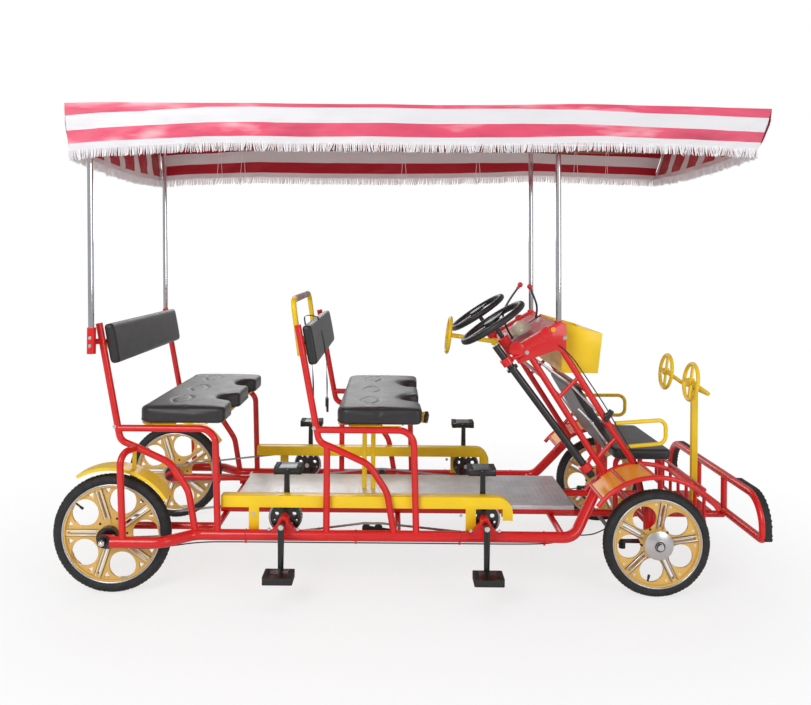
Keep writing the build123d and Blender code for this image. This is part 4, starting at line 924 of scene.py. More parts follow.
def canopy_point(x, y, down, lean):
    """A point of the cloth: place over the roof, share of the valance's depth and the way it faces."""
    middle = (CANOPY["back"] + CANOPY["front"]) / 2
    reach = (CANOPY["front"] - CANOPY["back"]) / 2
    along = (x - middle) / reach
    hang = down * valance_depth(x, y, lean)
    front_pull = max(0.0, along) ** 6 * CANOPY["front_inset"] * down
    if lean[0] > 0:
        front_pull -= 0.008 * sin(pi * down) * max(0.0, -y / CANOPY["half"]) ** 6
    back_pull = max(0.0, -along) ** 6 * CANOPY["back_inset"] * down
    px = x - front_pull + back_pull
    edge_share = abs(y) / CANOPY["half"]
    top = CANOPY["top"] + between_stations(EDGE_LINE, x)[0] * edge_share ** 4
    ripple = noise.noise(Vector((x * 3.1, y * 5.0, 2.0)))
    fine = noise.noise(Vector((x * 13.0 + down * 4.0, y * 11.0, down * 2.0 + 5.0)))
    crease = noise.noise(Vector((x * 21.0 - down * 6.0, y * 20.0, 11.0)))
    wave = down * (0.010 * ripple + 0.008 * fine + 0.005 * crease)
    out = Vector(lean) * (wave + 0.004 * sin(down * pi))
    crown = 0.0
    if down == 0:
        bay = sin(pi * ((x - 0.08) / 0.505)) ** 2
        crown = -0.007 * bay * (1 - edge_share ** 2) * min(1.0, (1 - abs(along)) * 8)
        crown += 0.0012 * fine * (1 - edge_share ** 4)
    else:
        top += 0.002 * ripple
    top += 0.0015 * noise.noise(Vector((x * 6.0, y * 6.0, 8.0)))
    return Vector((px, y, top + crown - hang)) + out


class SURREY_OT_canopy(bpy.types.Operator):
    """The striped roof cloth with its valance, hem, fringe and ties"""

    bl_idname = "surrey.canopy"
    bl_label = "Canopy"

    def cloth(self):
        settings = cloth_settings()
        columns, rows, fall = 150, 96, 10
        half_band = settings.period * BAND_SHARE / 2
        deselect()
        bpy.ops.mesh.primitive_grid_add(
            x_subdivisions=columns + 2 * fall, y_subdivisions=rows + 2 * fall, size=2
        )
        piece = bpy.context.object
        mesh = piece.data
        lay = mesh.uv_layers.active
        lay.name = "lay"
        total_x, total_y = columns + 2 * fall, rows + 2 * fall
        corners, places = [], []
        for vertex in mesh.vertices:
            i = round((vertex.co.x + 1) / 2 * total_x)
            j = round((vertex.co.y + 1) / 2 * total_y)
            over_i = max(0, fall - i) - max(0, i - columns - fall)
            over_j = max(0, fall - j) - max(0, j - rows - fall)
            x = CANOPY["back"] + (CANOPY["front"] - CANOPY["back"]) * min(max((i - fall) / columns, 0), 1)
            y = CANOPY["half"] * (2 * min(max((j - fall) / rows, 0), 1) - 1)
            down = max(abs(over_i), abs(over_j)) / fall
            lean = (0, 0, 0)
            if over_i:
                lean = (-1 if over_i > 0 else 1, 0, 0)
            elif over_j:
                lean = (0, -1 if over_j > 0 else 1, 0)
            vertex.co = canopy_point(x, y, down, lean)
            if over_i and over_j:
                corners.append(vertex.index)
            pitches, band_edge = between_stations(ACROSS_LINES, abs(y))
            u, v = x, settings.period * pitches + half_band * band_edge
            if over_j:
                first, white_end, second, hem_end = between_stations(VALANCE_LINES, x)
                hang = down * hem_end
                lines = (
                    (0.0, 0.0, 0.0), (first, 0.0, 1.0), (white_end, 1.0, -1.0),
                    (second, 1.0, 1.0), (hem_end, 1.5, 0.0),
                )
                pitches, band_edge = between_stations(lines, hang)
                v += settings.period * pitches + half_band * band_edge
            elif over_i and down > 0.81:
                u = HEM_MARK
            places.append((u, v))
        for loop in mesh.loops:
            lay.data[loop.index].uv = places[loop.vertex_index]
        with edit_mode(piece):
            bpy.ops.mesh.select_mode(type="VERT")
            bpy.ops.mesh.select_all(action="DESELECT")
        for index in corners:
            mesh.vertices[index].select = True
        bpy.ops.object.mode_set(mode="EDIT")
        bpy.ops.mesh.delete(type="VERT")
        bpy.ops.object.mode_set(mode="OBJECT")
        settle(outwards(piece), "canopy_cloth")
        outer_faces = len(mesh.polygons)
        applied(piece, "SOLIDIFY", thickness=0.0010, offset=-1)
        # marks the inner shell's faces, which the cloth's finish darkens as painted shade
        shaded_underside = piece.data.attributes.new("shaded_underside", "FLOAT", "FACE")
        for face in piece.data.polygons:
            shaded_underside.data[face.index].value = 1.0 if outer_faces <= face.index < 2 * outer_faces else 0.0
        smooth(piece, 60)
        return hand_over(piece, "canopy_cloth", "canopy_cloth", node="canopy")

    def fringe(self):
        """One strand is modelled, and each copy takes its own swing and length."""
        length = cloth_settings().fringe
        width, levels, step = 0.0036, 3, 0.0044
        deselect()
        bpy.ops.mesh.primitive_cylinder_add(vertices=3, radius=width * 0.6, depth=1.0, location=(0, 0, -0.5))
        strand = bpy.context.object
        with edit_mode(strand):
            for cut in range(1, levels):
                bpy.ops.mesh.select_all(action="SELECT")
                bpy.ops.mesh.bisect(plane_co=(0, 0, -cut / levels), plane_no=(0, 0, 1))
        settle(strand)
        path = []
        back, front, half = CANOPY["back"], CANOPY["front"], CANOPY["half"]
        count_x = int((front - back) / step)
        count_y = int(2 * half / step)
        for index in range(count_x):
            x = back + (front - back) * (index + 0.5) / count_x
            path.append((x, -half, (0, -1, 0), (1, 0, 0)))
            path.append((x, half, (0, 1, 0), (1, 0, 0)))
        for index in range(count_y):
            y = -half + 2 * half * (index + 0.5) / count_y
            path.append((back, y, (-1, 0, 0), (0, 1, 0)))
            path.append((front, y, (1, 0, 0), (0, 1, 0)))
        strands = []
        for x, y, lean, side_way in path:
            side_way, out = Vector(side_way), Vector(lean)
            top = canopy_point(x, y, 1.0, lean)
            clump = noise.noise(Vector((x * 22.0, y * 22.0, 9.0)))
            stray = noise.noise(Vector((x * 190.0, y * 190.0, 3.0)))
            swing = side_way * (0.020 * clump + 0.012 * stray)
            push = out * (0.006 * stray + 0.003 * clump)
            reach = length * (1.0 + 0.22 * stray + 0.14 * clump)
            copy = copied(strand)
            for vertex in copy.data.vertices:
                share = min(1.0, max(0.0, -vertex.co.z))
                slim = 1 - 0.3 * share
                spot = top + swing * share ** 1.5 + push * share + Vector((0, 0, 0.004 - reach * share))
                vertex.co = spot + side_way * (vertex.co.x * slim) + out * (vertex.co.y * slim)
            strands.append(copy)
        bpy.data.objects.remove(strand)
        piece = smooth(joined(strands, "canopy_fringe"), 70)
        return hand_over(piece, "canopy_fringe", "canopy_cloth", "fringe_yarn")

    def ties(self):
        """Pairs of hanging cord ends, and the loops that lace the cloth to the roof tubes."""
        places = [(x, side) for x in (-0.96, -0.84, -0.02, 0.36, 0.86, 1.02) for side in (-1, 1)]
        cords = []
        for x, side in places:
            for lean in (-0.006, 0.006):
                sway = 0.012 * noise.noise(Vector((x * 7, side, lean * 90)))
                long = 0.085 + 0.05 * abs(noise.noise(Vector((x * 5, side * 3, lean * 300))))
                top = Vector((x + lean, side * 0.547, 1.842))
                cords.append(bent_bar([
                    top + Vector((0, 0, 0.004)), top + Vector((0, 0, -long * 0.4)),
                    top + Vector((sway, 0, -long * 0.8)), top + Vector((sway + lean, 0, -long - 0.05)),
                ], 0.0012, 4))
        loops = [ring((x, side * 0.558, 1.8507), (1, 0, 0), 0.0108, 0.0016, 24, 6) for x, side in places]
        return hand_over(cords + loops, "canopy_ties", "canopy_cloth", "fringe_yarn")

    def execute(self, context):
        cloth = self.cloth()
        fringe = self.fringe()
        ties = self.ties()
        return {"FINISHED"}


def pad_outline(back, front, half, corner, scallops, scallop_radius):
    """Outline of a bench pad from above, with scallops in its front edge."""
    points = []

    def arc(cx, cy, radius, start, end, count):
        for index in range(count + 1):
            turn = radians(start + (end - start) * index / count)
            points.append((cx + radius * cos(turn), cy + radius * sin(turn)))

    arc(back + corner, -half + corner, corner, 180, 270, 8)
    arc(front - corner * 0.6, -half + corner * 0.6, corner * 0.6, -90, 0, 8)
    for middle in scallops:
        round_over = 0.022
        span = scallop_radius + round_over
        tilt = 25
        arc(front - round_over, middle - span * cos(radians(tilt)) - 0.002, round_over, 0, 68, 5)
        arc(front + 0.012, middle, scallop_radius, 248, 112, 14)
        arc(front - round_over, middle + span * cos(radians(tilt)) + 0.002, round_over, -68, 0, 5)
    arc(front - corner * 0.6, half - corner * 0.6, corner * 0.6, 0, 90, 8)
    arc(back + corner, half - corner, corner, 90, 180, 8)
    return points


def drawn_out(piece):
    """Extrudes all of a piece in place and gives the new points."""
    with edit_mode(piece):
        bpy.ops.mesh.extrude_region()
    return [vertex for vertex in piece.data.vertices if vertex.select]


def moulded_pad(outline, low, high, edge, voxel=0.006):
    """A closed foam pad with rounded edges, from its outline seen from above."""
    deselect()
    bpy.ops.mesh.primitive_circle_add(vertices=len(outline), fill_type="NGON", location=(0, 0, 0))
    piece = bpy.context.object
    for vertex, (x, y) in zip(piece.data.vertices, outline):
        vertex.co = (x, y, low)
    for vertex in drawn_out(piece):
        vertex.co.z = high
    applied(outwards(piece), "BEVEL", width=edge, segments=6, limit_method="ANGLE", angle_limit=radians(60))
    applied(piece, "REMESH", mode="VOXEL", voxel_size=voxel)
    return applied(piece, "SMOOTH", factor=0.5, iterations=6)


def swollen(piece, pressure, reach, fixed):
    """Lets a pad swell as cloth under pressure, with its movement capped."""
    before = [vertex.co.copy() for vertex in piece.data.vertices]
    pick(piece)
    cloth = piece.modifiers.new("cloth", "CLOTH")
    cloth.settings.use_pressure = True
    cloth.settings.uniform_pressure_force = pressure
    cloth.settings.effector_weights.gravity = 0
    cloth.settings.tension_stiffness = 25
    cloth.settings.bending_stiffness = 4
    cloth.collision_settings.use_collision = False
    cloth.point_cache.frame_start = 1
    cloth.point_cache.frame_end = 16
    for number in range(1, 17):
        bpy.context.scene.frame_set(number)
    bpy.ops.object.modifier_apply(modifier="cloth")
    bpy.context.scene.frame_set(1)
    for vertex, old in zip(piece.data.vertices, before):
        move = vertex.co - old
        if fixed(old):
            move = Vector((0, 0, 0))
        if move.length > reach:
            move = move * (reach / move.length)
        vertex.co = old + move
    return piece


class SURREY_OT_seats(bpy.types.Operator):
    """Moulded bench pads, back pads and the child seat"""

    bl_idname = "surrey.seats"
    bl_label = "Seats"

    def grooves(self, piece, high, back, depth):
        """Three pairs of curved grooves pressed into the top skin."""
        skin_depth, reach, spread_out = 0.016, 0.020, 0.0042
        marks = []
        for middle in (-0.275, 0.0, 0.275):
            for mirror in (-1, 1):
                for index in range(25):
                    share = index / 24 * 2 - 1
                    bow = (1 - share * share) * 0.026
                    marks.append((back + 0.130 + mirror * (0.010 + bow), middle + share * 0.075))
        for vertex in piece.data.vertices:
            if vertex.co.z < high - skin_depth:
                continue
            near = min((vertex.co.x - mx) ** 2 + (vertex.co.y - my) ** 2 for mx, my in marks)
            if near < reach ** 2:
                vertex.co.z -= depth * exp(-near / (2 * spread_out ** 2))

    def crown(self, piece, low, high, middle, reach):
        """Raises the top in a slow crown and dishes each place."""
        for vertex in piece.data.vertices:
            lift = (vertex.co.z - low) / (high - low)
            if lift > 0.5:
                across = (vertex.co.x - middle) / reach
                dish = cos(vertex.co.y / 0.275 * pi) * 0.5 + 0.5
                vertex.co.z += (0.003 * (1 - across * across) - 0.004 * dish * (1 - across ** 4)) * lift

    def seated(self, piece, name, node):
        """Hands a pad over, smoothly shaded, in the seat's vinyl finish."""
        hand_over(smooth(piece, 80), name, "seat_vinyl", node=node)

    def back_pad(self, node, name, edge, tall, thick, lean, corner):
        """A flat pad that leans with its frame, its front face crowned."""
        low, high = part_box(node)
        middle = (low + high) / 2
        half = (high[1] - low[1]) / 2 - 0.001
        outline = pad_outline(-tall / 2, tall / 2, half, corner, (), 0.05)
        piece = moulded_pad(outline, -thick / 2 + 0.0005, thick / 2 - 0.001, edge, 0.0048)
        up = Vector((-sin(lean), 0, cos(lean)))
        out = Vector((cos(lean), 0, sin(lean)))
        turn = Matrix((up, Vector((0, -1, 0)), out)).transposed()
        for vertex in piece.data.vertices:
            if vertex.co.z > 0:
                across = vertex.co.x / (tall / 2)
                vertex.co.z += 0.0015 * (1 - across * across)
            vertex.co = turn @ vertex.co + middle
        self.seated(outwards(piece), name, node)

    def execute(self, context):
        settings = seat_settings()
        for bench in ("rear", "middle"):
            low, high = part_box(f"seat_pad_{bench}")
            back, front = low[0], high[0]
            outline = pad_outline(back + 0.001, front - 0.001, high[1] - 0.001, 0.045, (-0.19, 0.19), 0.088)
            pad = moulded_pad(outline, low[2] + 0.0005, high[2] - 0.001, settings.edge, 0.0062)
            self.crown(pad, low[2], high[2], (back + front) / 2, (front - back) / 2)
            swollen(pad, 2.0, 0.004, lambda spot, base=low[2]: spot.z < base + 0.012)
            self.grooves(pad, high[2], back, settings.groove)
            self.seated(pad, f"bench_pad_{bench}", f"seat_pad_{bench}")
            self.back_pad(f"backrest_{bench}", f"back_pad_{bench}", 0.0112, 0.156, 0.038,
                          atan2(0.1904, 1.0), 0.020)
        low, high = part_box("child_seat_pad")
        outline = pad_outline(low[0], high[0], high[1], 0.035, (), 0.05)
        pad = moulded_pad(outline, low[2] + 0.0005, high[2] - 0.001, 0.012, 0.005)
        self.seated(pad, "child_pad", "child_seat_pad")
        self.back_pad("child_backrest", "child_back_pad", 0.012, 0.300, 0.036, radians(31), 0.040)
        return {"FINISHED"}


class SURREY_OT_chains(bpy.types.Operator):
    """Roller chains link by link, with the teeth of the chainrings and sprockets"""

    bl_idname = "surrey.chains"
    bl_label = "Chains"

    def loop(self, circles, low_points):
        """Points along a chain: over two circles, with the lower run through given points."""
        (ax, az, ar), (bx, bz, br) = circles
        gap = sqrt((bx - ax) ** 2 + (bz - az) ** 2)
        slope = atan2(bz - az, bx - ax)
        tilt = atan2(ar - br, sqrt(gap ** 2 - (ar - br) ** 2))
        top = slope + pi / 2 - tilt
        points = [(ax + ar * cos(top), az + ar * sin(top)), (bx + br * cos(top), bz + br * sin(top))]
        if low_points:
            exit_b = self.tangent((bx, bz), br, low_points[0], 1)
            exit_a = self.tangent((ax, az), ar, low_points[-1], -1)
        else:
            exit_b = exit_a = slope - pi / 2 + tilt
        steps = 20
        for index in range(1, steps + 1):
            turn = top + (exit_b - top) * index / steps
            points.append((bx + br * cos(turn), bz + br * sin(turn)))
        points.extend(low_points)
        end = top - 2 * pi
        for index in range(steps):
            turn = exit_a + (end - exit_a) * index / steps
            points.append((ax + ar * cos(turn), az + ar * sin(turn)))
        return points

    def tangent(self, middle, radius, spot, side):
        """The angle on a circle where the line to a point leaves it, at the circle's underside."""
        dx, dz = spot[0] - middle[0], spot[1] - middle[1]
        reach = sqrt(dx * dx + dz * dz)
        toward = atan2(dz, dx)
        if side > 0 and toward > 0:
            toward -= 2 * pi
        opened = atan2(sqrt(reach ** 2 - radius ** 2), radius)
        turn = toward + opened if side > 0 else toward - opened
        while turn > pi / 2:
            turn -= 2 * pi
        while turn < -3 * pi / 2:
            turn += 2 * pi
        return turn

    def pins(self, points, pitch):
        """Even places for an even number of pins along the closed line of points."""
        closed = points + [points[0]]
        lengths = [0.0]
        for (x0, z0), (x1, z1) in zip(closed, closed[1:]):
            lengths.append(lengths[-1] + sqrt((x1 - x0) ** 2 + (z1 - z0) ** 2))
        count = int(lengths[-1] / pitch) // 2 * 2
        real = lengths[-1] / count
        stations = []
        segment = 0
        for index in range(count + 1):
            want = index * real
            while segment < len(lengths) - 2 and lengths[segment + 1] < want:
                segment += 1
            share = (want - lengths[segment]) / max(1e-9, lengths[segment + 1] - lengths[segment])
            (x0, z0), (x1, z1) = closed[segment], closed[segment + 1]
            stations.append(Vector((x0 + (x1 - x0) * share, 0, z0 + (z1 - z0) * share)))
        return stations

    def links(self, points, y, pitch=0.0127):
        """One pin and one plate are modelled and copied along the chain; every second link is wider."""
        plate_long, plate_high, plate_thick = 0.0040, 0.0036, 0.0009
        # a plate's corners: the pin each one is by, and its angle round that pin
        corners = ((0, 110), (0, 180), (0, 250), (1, -70), (1, 0), (1, 70))
        stations = self.pins(points, pitch)
        deselect()
        bpy.ops.mesh.primitive_cylinder_add(
            vertices=6, radius=0.0024, depth=0.0080, location=(0, 0, 0), rotation=(pi / 2, pi / 6, 0)
        )
        pin = settle(bpy.context.object)
        deselect()
        bpy.ops.mesh.primitive_cylinder_add(vertices=6, radius=1, depth=2, location=(0, 0, 0))
        blank = bpy.context.object
        roles = [(round(atan2(v.co.y, v.co.x) / (pi / 3) + 0.5) % 6, v.co.z > 0) for v in blank.data.vertices]
        pieces = []
        for index, ends in enumerate(zip(stations, stations[1:])):
            way = (ends[1] - ends[0]).normalized()
            up = Vector((-way.z, 0, way.x))
            offset = 0.0021 if index % 2 else 0.0030
            for face in (-1, 1):
                piece = copied(blank)
                for vertex, (corner, outer) in zip(piece.data.vertices, roles):
                    end, angle = corners[corner]
                    turn = radians(angle)
                    spot = ends[end] + way * cos(turn) * plate_long + up * sin(turn) * plate_high
                    vertex.co = (spot.x, y + face * (offset + plate_thick * outer), spot.z)
                pieces.append(piece)
            piece = copied(pin)
            for vertex in piece.data.vertices:
                vertex.co += Vector((ends[0].x, y, ends[0].z))
            pieces.append(piece)
        bpy.data.objects.remove(pin)
        bpy.data.objects.remove(blank)
        return outwards(joined(pieces, "links"))

    def teeth(self, x, z, y, radius, count, thickness=0.0022):
        """A toothed ring round a chainring or sprocket."""
        inner = radius - 0.010
        outline = [
            ((index + part) * 2 * pi / count, radius + reach)
            for index in range(count)
            for part, reach in ((0.0, -0.0008), (0.22, 0.0045), (0.42, 0.0045), (0.64, -0.0008))
        ]
        deselect()
        bpy.ops.mesh.primitive_circle_add(vertices=len(outline), location=(0, 0, 0))
        piece = bpy.context.object
        for vertex, (turn, reach) in zip(piece.data.vertices, outline):
            vertex.co = (x + cos(turn) * reach, y - thickness / 2, z + sin(turn) * reach)
        for vertex in drawn_out(piece):
            turn = atan2(vertex.co.z - z, vertex.co.x - x)
            vertex.co = (x + cos(turn) * inner, y - thickness / 2, z + sin(turn) * inner)
        for vertex in drawn_out(piece):
            vertex.co.y += thickness
        return outwards(piece)

    def execute(self, context):
        low_z, ring_radius, pitch_radius = 0.2592, 0.0588, 0.0625
        long_y, drive_y = 0.399, 0.387
        rear_x, front_x = CRANKS["rear"], CRANKS["front"]
        wheel_x, wheel_z = HUBS["rear"][:2]
        all_links = []
        for side_name, side in SIDES:
            rear_ring = (rear_x, CRANK_Z, pitch_radius)
            long_line = self.loop(
                (rear_ring, (front_x, CRANK_Z, pitch_radius)),
                [(-0.110, low_z), (-0.125, low_z - 0.001), (-0.155, low_z - 0.001), (-0.170, low_z)],
            )
            drive_line = self.loop(((wheel_x, wheel_z, 0.0405), rear_ring), [])
            all_links.append(self.links(long_line, side * long_y))
            all_links.append(self.links(drive_line, side * drive_y))
            for place, x in CRANKS.items():
                rings = [self.teeth(x, CRANK_Z, side * long_y, ring_radius, 30)]
                if place == "rear":
                    rings.append(self.teeth(x, CRANK_Z, side * drive_y, ring_radius, 30))
                hand_over(rings, f"crank_teeth_{place}_{side_name}", "black_metal", "steel",
                          f"crank_{place}_{side_name}")
            sprocket = self.teeth(wheel_x, wheel_z, side * drive_y, 0.0368, 20)
            hand_over(sprocket, f"wheel_teeth_{side_name}", "black_metal", "steel", f"rear_wheel_{side_name}")
        hand_over(all_links, "chain_links", "steel", node="chains")
        return {"FINISHED"}


class SURREY_OT_small_parts(bpy.types.Operator):
    """Pedal blocks and caps, frame bolts, the belt, the grab bar's grip and the seat pans' cheeks"""

    bl_idname = "surrey.small_parts"
    bl_label = "Small parts"

    def pedals(self, place, x, side_name, side):
        """The ribbed blocks of two pedals, and the caps over one crank set's bolts."""
        body = f"crank_{place}_{side_name}"
        blocks, ribs, caps = [], [], []
        for arm_y, away in ARMS:
            z = CRANK_Z + away * side * ARM_LENGTH
            y = side * (arm_y + away * 0.056)
            for step in (-1, 1):
                blocks.append(plate((x + step * 0.045, y, z), (0.020, 0.090, 0.029), 0.005, (0, 0, 0), 3))
                for rib in range(6):
                    spot = (x + step * 0.045, y - 0.036 + rib * 0.0145, z)
                    ribs.append(plate(spot, (0.021, 0.004, 0.031), 0.001))
            end = side * (arm_y - away * 0.0062)
            blocks.append(rod((x, end, z), (x, end - side * away * 0.004, z), 0.0085, 6, 0.001))
        for arm_y, away in ARMS:
            face = side * (arm_y + away * 0.006)
            caps.append(rod((x, face, CRANK_Z), (x, face + side * away * 0.004, CRANK_Z), 0.0105, 24, 0.0015))
        hand_over(blocks, f"pedal_blocks_{place}_{side_name}", "black_plastic", "rubber", body)
        hand_over(ribs, f"pedal_ribs_{place}_{side_name}", "black_plastic", body=body)
        hand_over(caps, f"crank_caps_{place}_{side_name}", "steel", "zinc", body)

    def bolts(self):
        """Bolt heads on the side rails, seat frames, tower and roof sockets."""
        heads = []
        for _name, side in SIDES:
            sideways = (0, side, 0)
            for x in (-0.425, -0.535, 0.240, 0.350):
                heads.append(bolt((x, side * 0.455, 0.252), sideways, 0.0048))
            for seat_x in SEATS:
                for share in (0.28, 0.86):
                    heads.append(bolt((seat_x + share * 0.386, side * 0.405, 0.6495), (0, 0, -1), 0.0055))
                heads.append(bolt((seat_x - 0.012, side * (WHEEL_Y + 0.0125), 0.640), sideways, 0.0055))
            for x, y, z, radius in (
                (-0.60, 0.424, 0.300, 0.0050), (0.205, 0.424, 0.300, 0.0050),
                (0.6205, 0.3385, 0.985, 0.0065), (0.470, 0.3385, 0.925, 0.0065),
                (-1.212, 0.5035, 0.985, 0.0050), (-1.212, 0.5035, 0.955, 0.0050),
            ):
                heads.append(bolt((x, side * y, z), sideways, radius))
        hand_over(heads, "frame_bolts", "steel", "zinc")

    def strap(self):
        """The lap belt hung over the middle backrest with its buckle."""
        width = 0.019
        line = [
            (-0.405, 0.700), (-0.409, 0.800), (-0.418, 0.880), (-0.432, 0.960), (-0.446, 1.030),
            (-0.440, 1.046), (-0.420, 1.048), (-0.398, 1.043), (-0.386, 1.032), (-0.368, 0.960),
            (-0.355, 0.892), (-0.352, 0.870), (-0.349, 0.800), (-0.347, 0.740), (-0.347, 0.690),
        ]
        points = [Vector((x, z)) for x, z in line]
        smooth_line = []
        for index in range(len(points) - 1):
            p0, p1 = points[max(index - 1, 0)], points[index]
            p2, p3 = points[index + 1], points[min(index + 2, len(points) - 1)]
            for step in range(5):
                t = step / 5
                smooth_line.append(0.5 * ((2 * p1) + (p2 - p0) * t + (2 * p0 - 5 * p1 + 4 * p2 - p3) * t * t
                                          + (3 * p1 - p0 - 3 * p2 + p3) * t * t * t))
        smooth_line.append(points[-1])
        across = (-1, -0.33, 0.33, 1)
        cells_u, cells_v = len(across) - 1, len(smooth_line) - 1
        deselect()
        bpy.ops.mesh.primitive_grid_add(x_subdivisions=cells_u, y_subdivisions=cells_v, size=2)
        piece = bpy.context.object
        for vertex in piece.data.vertices:
            share = across[round((vertex.co.x + 1) / 2 * cells_u)]
            x, z = smooth_line[round((vertex.co.y + 1) / 2 * cells_v)]
            twist = 0.010 * noise.noise(Vector((z * 9, 1, 4))) if z < 0.86 else 0
            middle = -0.10 + 0.014 * max(0.0, 0.9 - z)
            vertex.co = (x + twist * share, middle + share * width, z)
        applied(piece, "SOLIDIFY", thickness=0.0016, offset=0)
        hand_over(smooth(piece, 50), "seat_strap", "seat_vinyl", "belt")
        buckle = [
            plate((-0.347, -0.097, 0.676), (0.014, 0.050, 0.036), 0.004, (0, 0, 0.1), 3),
            plate((-0.345, -0.097, 0.650), (0.010, 0.040, 0.028), 0.003, (0, 0, 0.1), 3),
        ]
        hand_over(buckle, "strap_buckle", "black_plastic")

    def cheek(self, seat_x, side):
        """The curved lower edge of a seat pan's side."""
        deselect()
        bpy.ops.mesh.primitive_cylinder_add(
            vertices=64, radius=0.42, depth=0.006, location=(seat_x + 0.225, side * 0.424, 1.052),
            rotation=(pi / 2, 0, 0)
        )
        disc = settle(bpy.context.object)
        with edit_mode(disc):
            bpy.ops.mesh.bisect(plane_co=(0, 0, 0.6455), plane_no=(0, 0, 1), use_fill=True, clear_outer=True)
        return bevelled(disc, 0.0012)

    def execute(self, context):
        for place, x in CRANKS.items():
            for side_name, side in SIDES:
                self.pedals(place, x, side_name, side)
        self.bolts()
        self.strap()
        grab_x, grab_z, reach = -0.4709, 1.125, 0.235
        sleeve = rod((grab_x, -reach, grab_z), (grab_x, reach, grab_z), 0.0140, 28, 0.003)
        hand_over(sleeve, "grab_grip", "black_plastic", "grip_foam")
        cheeks = [self.cheek(seat_x, side) for seat_x in SEATS for _name, side in SIDES]
        hand_over(cheeks, "pan_cheeks", "yellow_paint")
        return {"FINISHED"}


class SURREY_OT_cranks(bpy.types.Operator):
    """Chainrings with lightening holes and rounded crank arms"""

    bl_idname = "surrey.cranks"
    bl_label = "Cranks"

    def execute(self, context):
        for place, x in CRANKS.items():
            for side_name, side in SIDES:
                node = f"crank_{place}_{side_name}"
                piece = copied_node(node, node)
                cutters = []
                for index in range(5):
                    for turn, circle, radius in ((90, 0.036, 0.0085), (126, 0.046, 0.0050)):
                        angle = radians(turn + index * 72)
                        cx, cz = x + cos(angle) * circle, CRANK_Z + sin(angle) * circle
                        cutters.append(rod((cx, side * 0.379, cz), (cx, side * 0.404, cz), radius, 20))
                bevelled(flattened(carved(piece, cutters)), 0.0014)
                hand_over(piece, f"crank_set_{place}_{side_name}", "black_metal", body=node, node=node)
        return {"FINISHED"}


class SURREY_OT_dash_fittings(bpy.types.Operator):
    """Hand levers, tray cover, plate lobes, post sleeves, reflectors and the tower's linkage"""

    bl_idname = "surrey.dash_fittings"
    bl_label = "Dash fittings"

    def levers(self):
        stems, knobs, plates = [], [], []
        for line in (
            ((0.447, -0.100, 0.955), (0.404, -0.100, 1.030), (0.408, -0.100, 1.092), (0.476, -0.100, 1.184)),
            ((0.566, 0.020, 1.030), (0.578, 0.020, 1.075), (0.560, 0.020, 1.130), (0.541, 0.020, 1.172)),
        ):
            stems.append(bent_bar(line, 0.0045, 10))
            tip = Vector(line[-1])
            way = (tip - Vector(line[-2])).normalized()
            knobs.append(rod(tip - way * 0.016, tip - way * 0.002, 0.0065, 16, 0.001))
            knobs.append(ball(tip + way * 0.004, 0.0115, (1, 1, 1), 10))
        for x, y in ((0.450, -0.100), (0.562, 0.020)):
            z = 0.925 + (x - 0.408) * 0.599 + 0.0155
            plates.append(plate((x, y, z), (0.062, 0.024, 0.005), 0.0015, (0, -TRAY_SLOPE, 0)))
        hand_over(stems, "dash_levers", "black_metal")
        hand_over(knobs, "dash_lever_knobs", "red_paint", "red_plastic")
        hand_over(plates, "dash_lever_slots", "black_metal")

    def cover(self):
        """The clear domed cover over the tray, open at its lower edge."""
        deselect()
        bpy.ops.mesh.primitive_uv_sphere_add(segments=40, ring_count=24, radius=0.052, location=(0, 0, 0))
        dome = bpy.context.object
        dome.scale = (0.82, 1.25, 1.0)
        settle(dome)
        with edit_mode(dome):
            bpy.ops.mesh.bisect(plane_co=(0, 0, 0.004), plane_no=(0, 0, 1), use_fill=False, clear_inner=True)
        dome.rotation_euler = (0, -TRAY_SLOPE, 0)
        dome.location = (0.486, -0.120, 0.9855)
        applied(settle(dome), "SOLIDIFY", thickness=0.0018)
        smooth(dome, 60)
        hand_over(dome, "tray_cover", "black_plastic", "clear_tray")

    def plates(self):
        lobes, sleeves, reflectors = [], [], []
        for _name, side in SIDES:
            face = side * 0.3385
            lobes.append(rod((0.428, side * 0.333, 0.938), (0.428, side * 0.3435, 0.938), 0.031, 40, 0.003))
            lobes.append(rod((0.547, side * 0.333, 1.003), (0.547, side * 0.3415, 1.003), 0.025, 36, 0.003))
            low, high = (0.6008, side * 0.322, 0.944), (0.5963, side * 0.322, 1.052)
            sleeves.append(rod(low, high, 0.0150, 28, 0.002))
            reflectors.append(rod((0.573, face, 1.018), (0.573, side * 0.3475, 1.018), 0.0105, 24, 0.002))
        hand_over(lobes, "dash_plate_lobes", "red_paint")
        hand_over(sleeves, "front_post_sleeves", "red_paint")
        hand_over(reflectors, "dash_reflectors", "orange_paint")
        collar = rod((0.372, 0, 0.933), (0.409, 0, 0.926), 0.0165, 24, 0.003)
        hand_over(collar, "toy_shaft_collar", "yellow_paint")
        tip = ball((0.396, -0.020, 0.915), 0.0115)
        hand_over(tip, "toy_shaft_plug", "steel", "zinc")

    def linkage(self):
        rods = []
        for _name, side in SIDES:
            y = side * 0.283
            for line in (
                ((0.542, 0.872), (0.652, 0.795), (0.716, 0.731), (0.826, 0.622)),
                ((0.690, 0.690), (0.742, 0.640), (0.806, 0.553)),
            ):
                for (x0, z0), (x1, z1) in zip(line, line[1:]):
                    rods.append(rod((x0, y, z0), (x1, y, z1), 0.0048, 12))
                    rods.append(ball((x1, y, z1), 0.0065, (1, 1, 1), 6))
            for x, z in ((0.652, 0.795), (0.742, 0.640)):
                rods.append(rod((x, y, z), (x, side * 0.312, z), 0.0045, 10, 0.0005))
        hand_over(rods, "tower_linkage", "steel", "zinc")

    def execute(self, context):
        self.levers()
        self.cover()
        self.plates()
        self.linkage()
        return {"FINISHED"}


